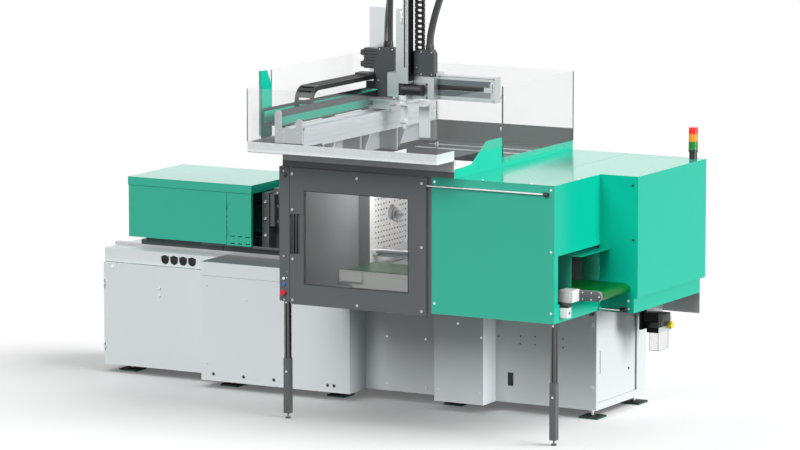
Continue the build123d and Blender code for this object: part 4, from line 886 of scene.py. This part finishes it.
# ---- Hoses over the mast. A ribbed cable conduit and a smooth air hose, each screwed into
# a gland on both drive housings.
CONDUIT_POINTS = [(0.055, 0.43, 2.677), (0.055, 0.43, 2.85), (0.059, 0.428, 3.04), (0.062, 0.42, 3.235),
                  (0.181, 0.395, 3.382), (0.366, 0.345, 3.421), (0.534, 0.298, 3.335), (0.6, 0.27, 3.165),
                  (0.537, 0.262, 2.985), (0.5, 0.262, 2.845), (0.486, 0.262, 2.765), (0.486, 0.262, 2.69)]
HOSE_POINTS = [(0.012, 0.436, 2.677), (0.012, 0.436, 2.84), (0.016, 0.464, 3.03), (0.056, 0.458, 3.23),
               (0.176, 0.433, 3.388), (0.364, 0.383, 3.428), (0.536, 0.336, 3.341), (0.603, 0.31, 3.168),
               (0.54, 0.304, 2.985), (0.502, 0.305, 2.845), (0.488, 0.306, 2.765), (0.488, 0.306, 2.69)]


def route(name, points, steps):
    """The smooth line through a hose's control points, and a tube's mesh along it."""
    line = bpy.data.curves.new(name, "CURVE")
    line.dimensions = "3D"
    line.resolution_u = steps
    spline = line.splines.new("NURBS")
    spline.points.add(len(points) - 1)
    for held, point in zip(spline.points, points):
        held.co = (*point, 1.0)
    spline.order_u = 3
    spline.use_endpoint_u = True
    holder = bpy.data.objects.new(name + "_line", line)
    bare = bpy.data.meshes.new_from_object(holder)
    path = [vert.co.copy() for vert in bare.vertices]
    bpy.data.meshes.remove(bare)
    bpy.data.objects.remove(holder)
    return line, path


def hose(name, points, steps, diameter, finish, ribs=0.0):
    """A tube along its line, between the cross unit and the kick unit."""
    line, path = route(name, points, steps)
    line.bevel_depth = diameter / 2
    line.bevel_resolution = 4
    line.use_fill_caps = True
    holder = bpy.data.objects.new(name + "_tube", line)
    mesh = bpy.data.meshes.new_from_object(holder)
    bpy.data.objects.remove(holder)
    mesh.name = name
    around = len(mesh.vertices) // len(path)
    if ribs:
        for index, vert in enumerate(mesh.vertices):
            ring = min(index // around, len(path) - 1)
            if ring % 2:
                vert.co = path[ring] + (vert.co - path[ring]) * (1.0 - ribs)
    for face in mesh.polygons:
        face.use_smooth = True
    mesh.materials.clear()
    mesh.materials.append(finish.owner)
    made = bpy.data.objects.new(name, mesh)
    bpy.context.scene.collection.objects.link(made)
    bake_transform(made)
    return made


conduit_rubber = moulded("conduit_rubber", tint(46, 46, 48), 0.34)
hose_rubber = moulded("hose_rubber", tint(92, 94, 96), 0.3)
conduit = hose("cable_conduit", CONDUIT_POINTS, 40, 0.046, conduit_rubber, 0.05)
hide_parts("conduit")
air_line = hose("air_line", HOSE_POINTS, 16, 0.020, hose_rubber)
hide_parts("air_hose")
CROSS_ENDS = ((55, 430, 2677, 23.4), (12, 436, 2677, 10.4))
ARM_ENDS = ((486, 262, 2690, 23.4), (488, 306, 2690, 10.4))
for name, body, ends in (("cross_glands", "cross_unit", CROSS_ENDS), ("arm_glands", "kick_unit", ARM_ENDS)):
    glands = Shape()
    for x, y, z, r in ends:
        nut = [(r, 0), (r + 7, 0), (r + 7, 16), (r + 5, 18), (r, 18), (r, 0)]
        boot = [(r, 0), (r + 4, 0), (r + 2.5, 20), (r + 0.8, 26), (r, 26), (r, 0)]
        glands.turned((x, y, z), UP, nut, 6)
        glands.turned((x, y, z + 18), UP, boot, 28)
    piece(name, glands, black_plastic, body)


# ---- Signal tower. Three ribbed lenses, green, amber and red, on a black foot and under
# a black cap.
tower_black = tint(22, 22, 22)
tower_rings = [
    (1.972, tint(4, 118, 36)),
    (2.034, tint(238, 142, 10)),
    (2.088, tint(250, 32, 10)),
    (2.148, tower_black),
]
lenses = moulded("lamp_lenses", tint(20, 20, 20), 0.2)
height = lenses.place()[2]
colours = tower_black
for start, colour in tower_rings:
    colours = lenses.blended(height > start, colours, colour)
lenses.paint(colours)
ribs = lenses.node("ShaderNodeMath", {"operation": "SINE"}, {0: height * 1100.0})
lenses.texture(0.001, 0.3, ribs)
dressed(["signal_tower"], lenses)


# ---- Air service unit. A black valve block over an aluminium rail behind the base, with
# a yellow knob and a clear water bowl.
RAIL_FRONT = 0.7055
KNOB_Y, KNOB_Z, GRIP_CIRCLE = 870, 650, 23
service_finish = bare_metal("service_finish", (0.66, 0.68, 0.69, 1.0), 0.38, (6.0, 6.0, 1.0))
filter_block = service_finish.place()[1] < RAIL_FRONT
service_finish.paint(service_finish.blended(filter_block, tint(206, 211, 213), tint(28, 28, 29)))
dressed(["air_unit"], service_finish)
knob_plastic = moulded("knob_plastic", tint(228, 214, 24), 0.35)
dressed(["air_knob"], knob_plastic)
valve = Shape().block(2097, 2204, 702, 903, 648, 743, 4).block(2204, 2209, 720, 780, 660, 720, 2)
piece("valve_block", valve, black_plastic, "machine")
knob = Shape()
for step in range(6):
    angle = math.tau * step / 6
    y = KNOB_Y + GRIP_CIRCLE * math.cos(angle)
    z = KNOB_Z + GRIP_CIRCLE * math.sin(angle)
    knob.rod((2206, y, z), (2234, y, z), 6, 1.5, 12)
piece("knob_grips", knob, knob_plastic, "air_knob")
bowl_edges = Shape().block(2184, 2186.5, 730, 900, 470, 473, 0.4)
bowl_edges.block(2115, 2185, 728.5, 731, 470, 473, 0.4)
for x, y in ((2115, 730), (2185, 730), (2185, 900)):
    bowl_edges.block(x - 1.5, x + 1.5, y - 1.5, y + 1.5, 470, 608, 0.4)
piece("bowl_edges", bowl_edges, sawn_edge, "machine")
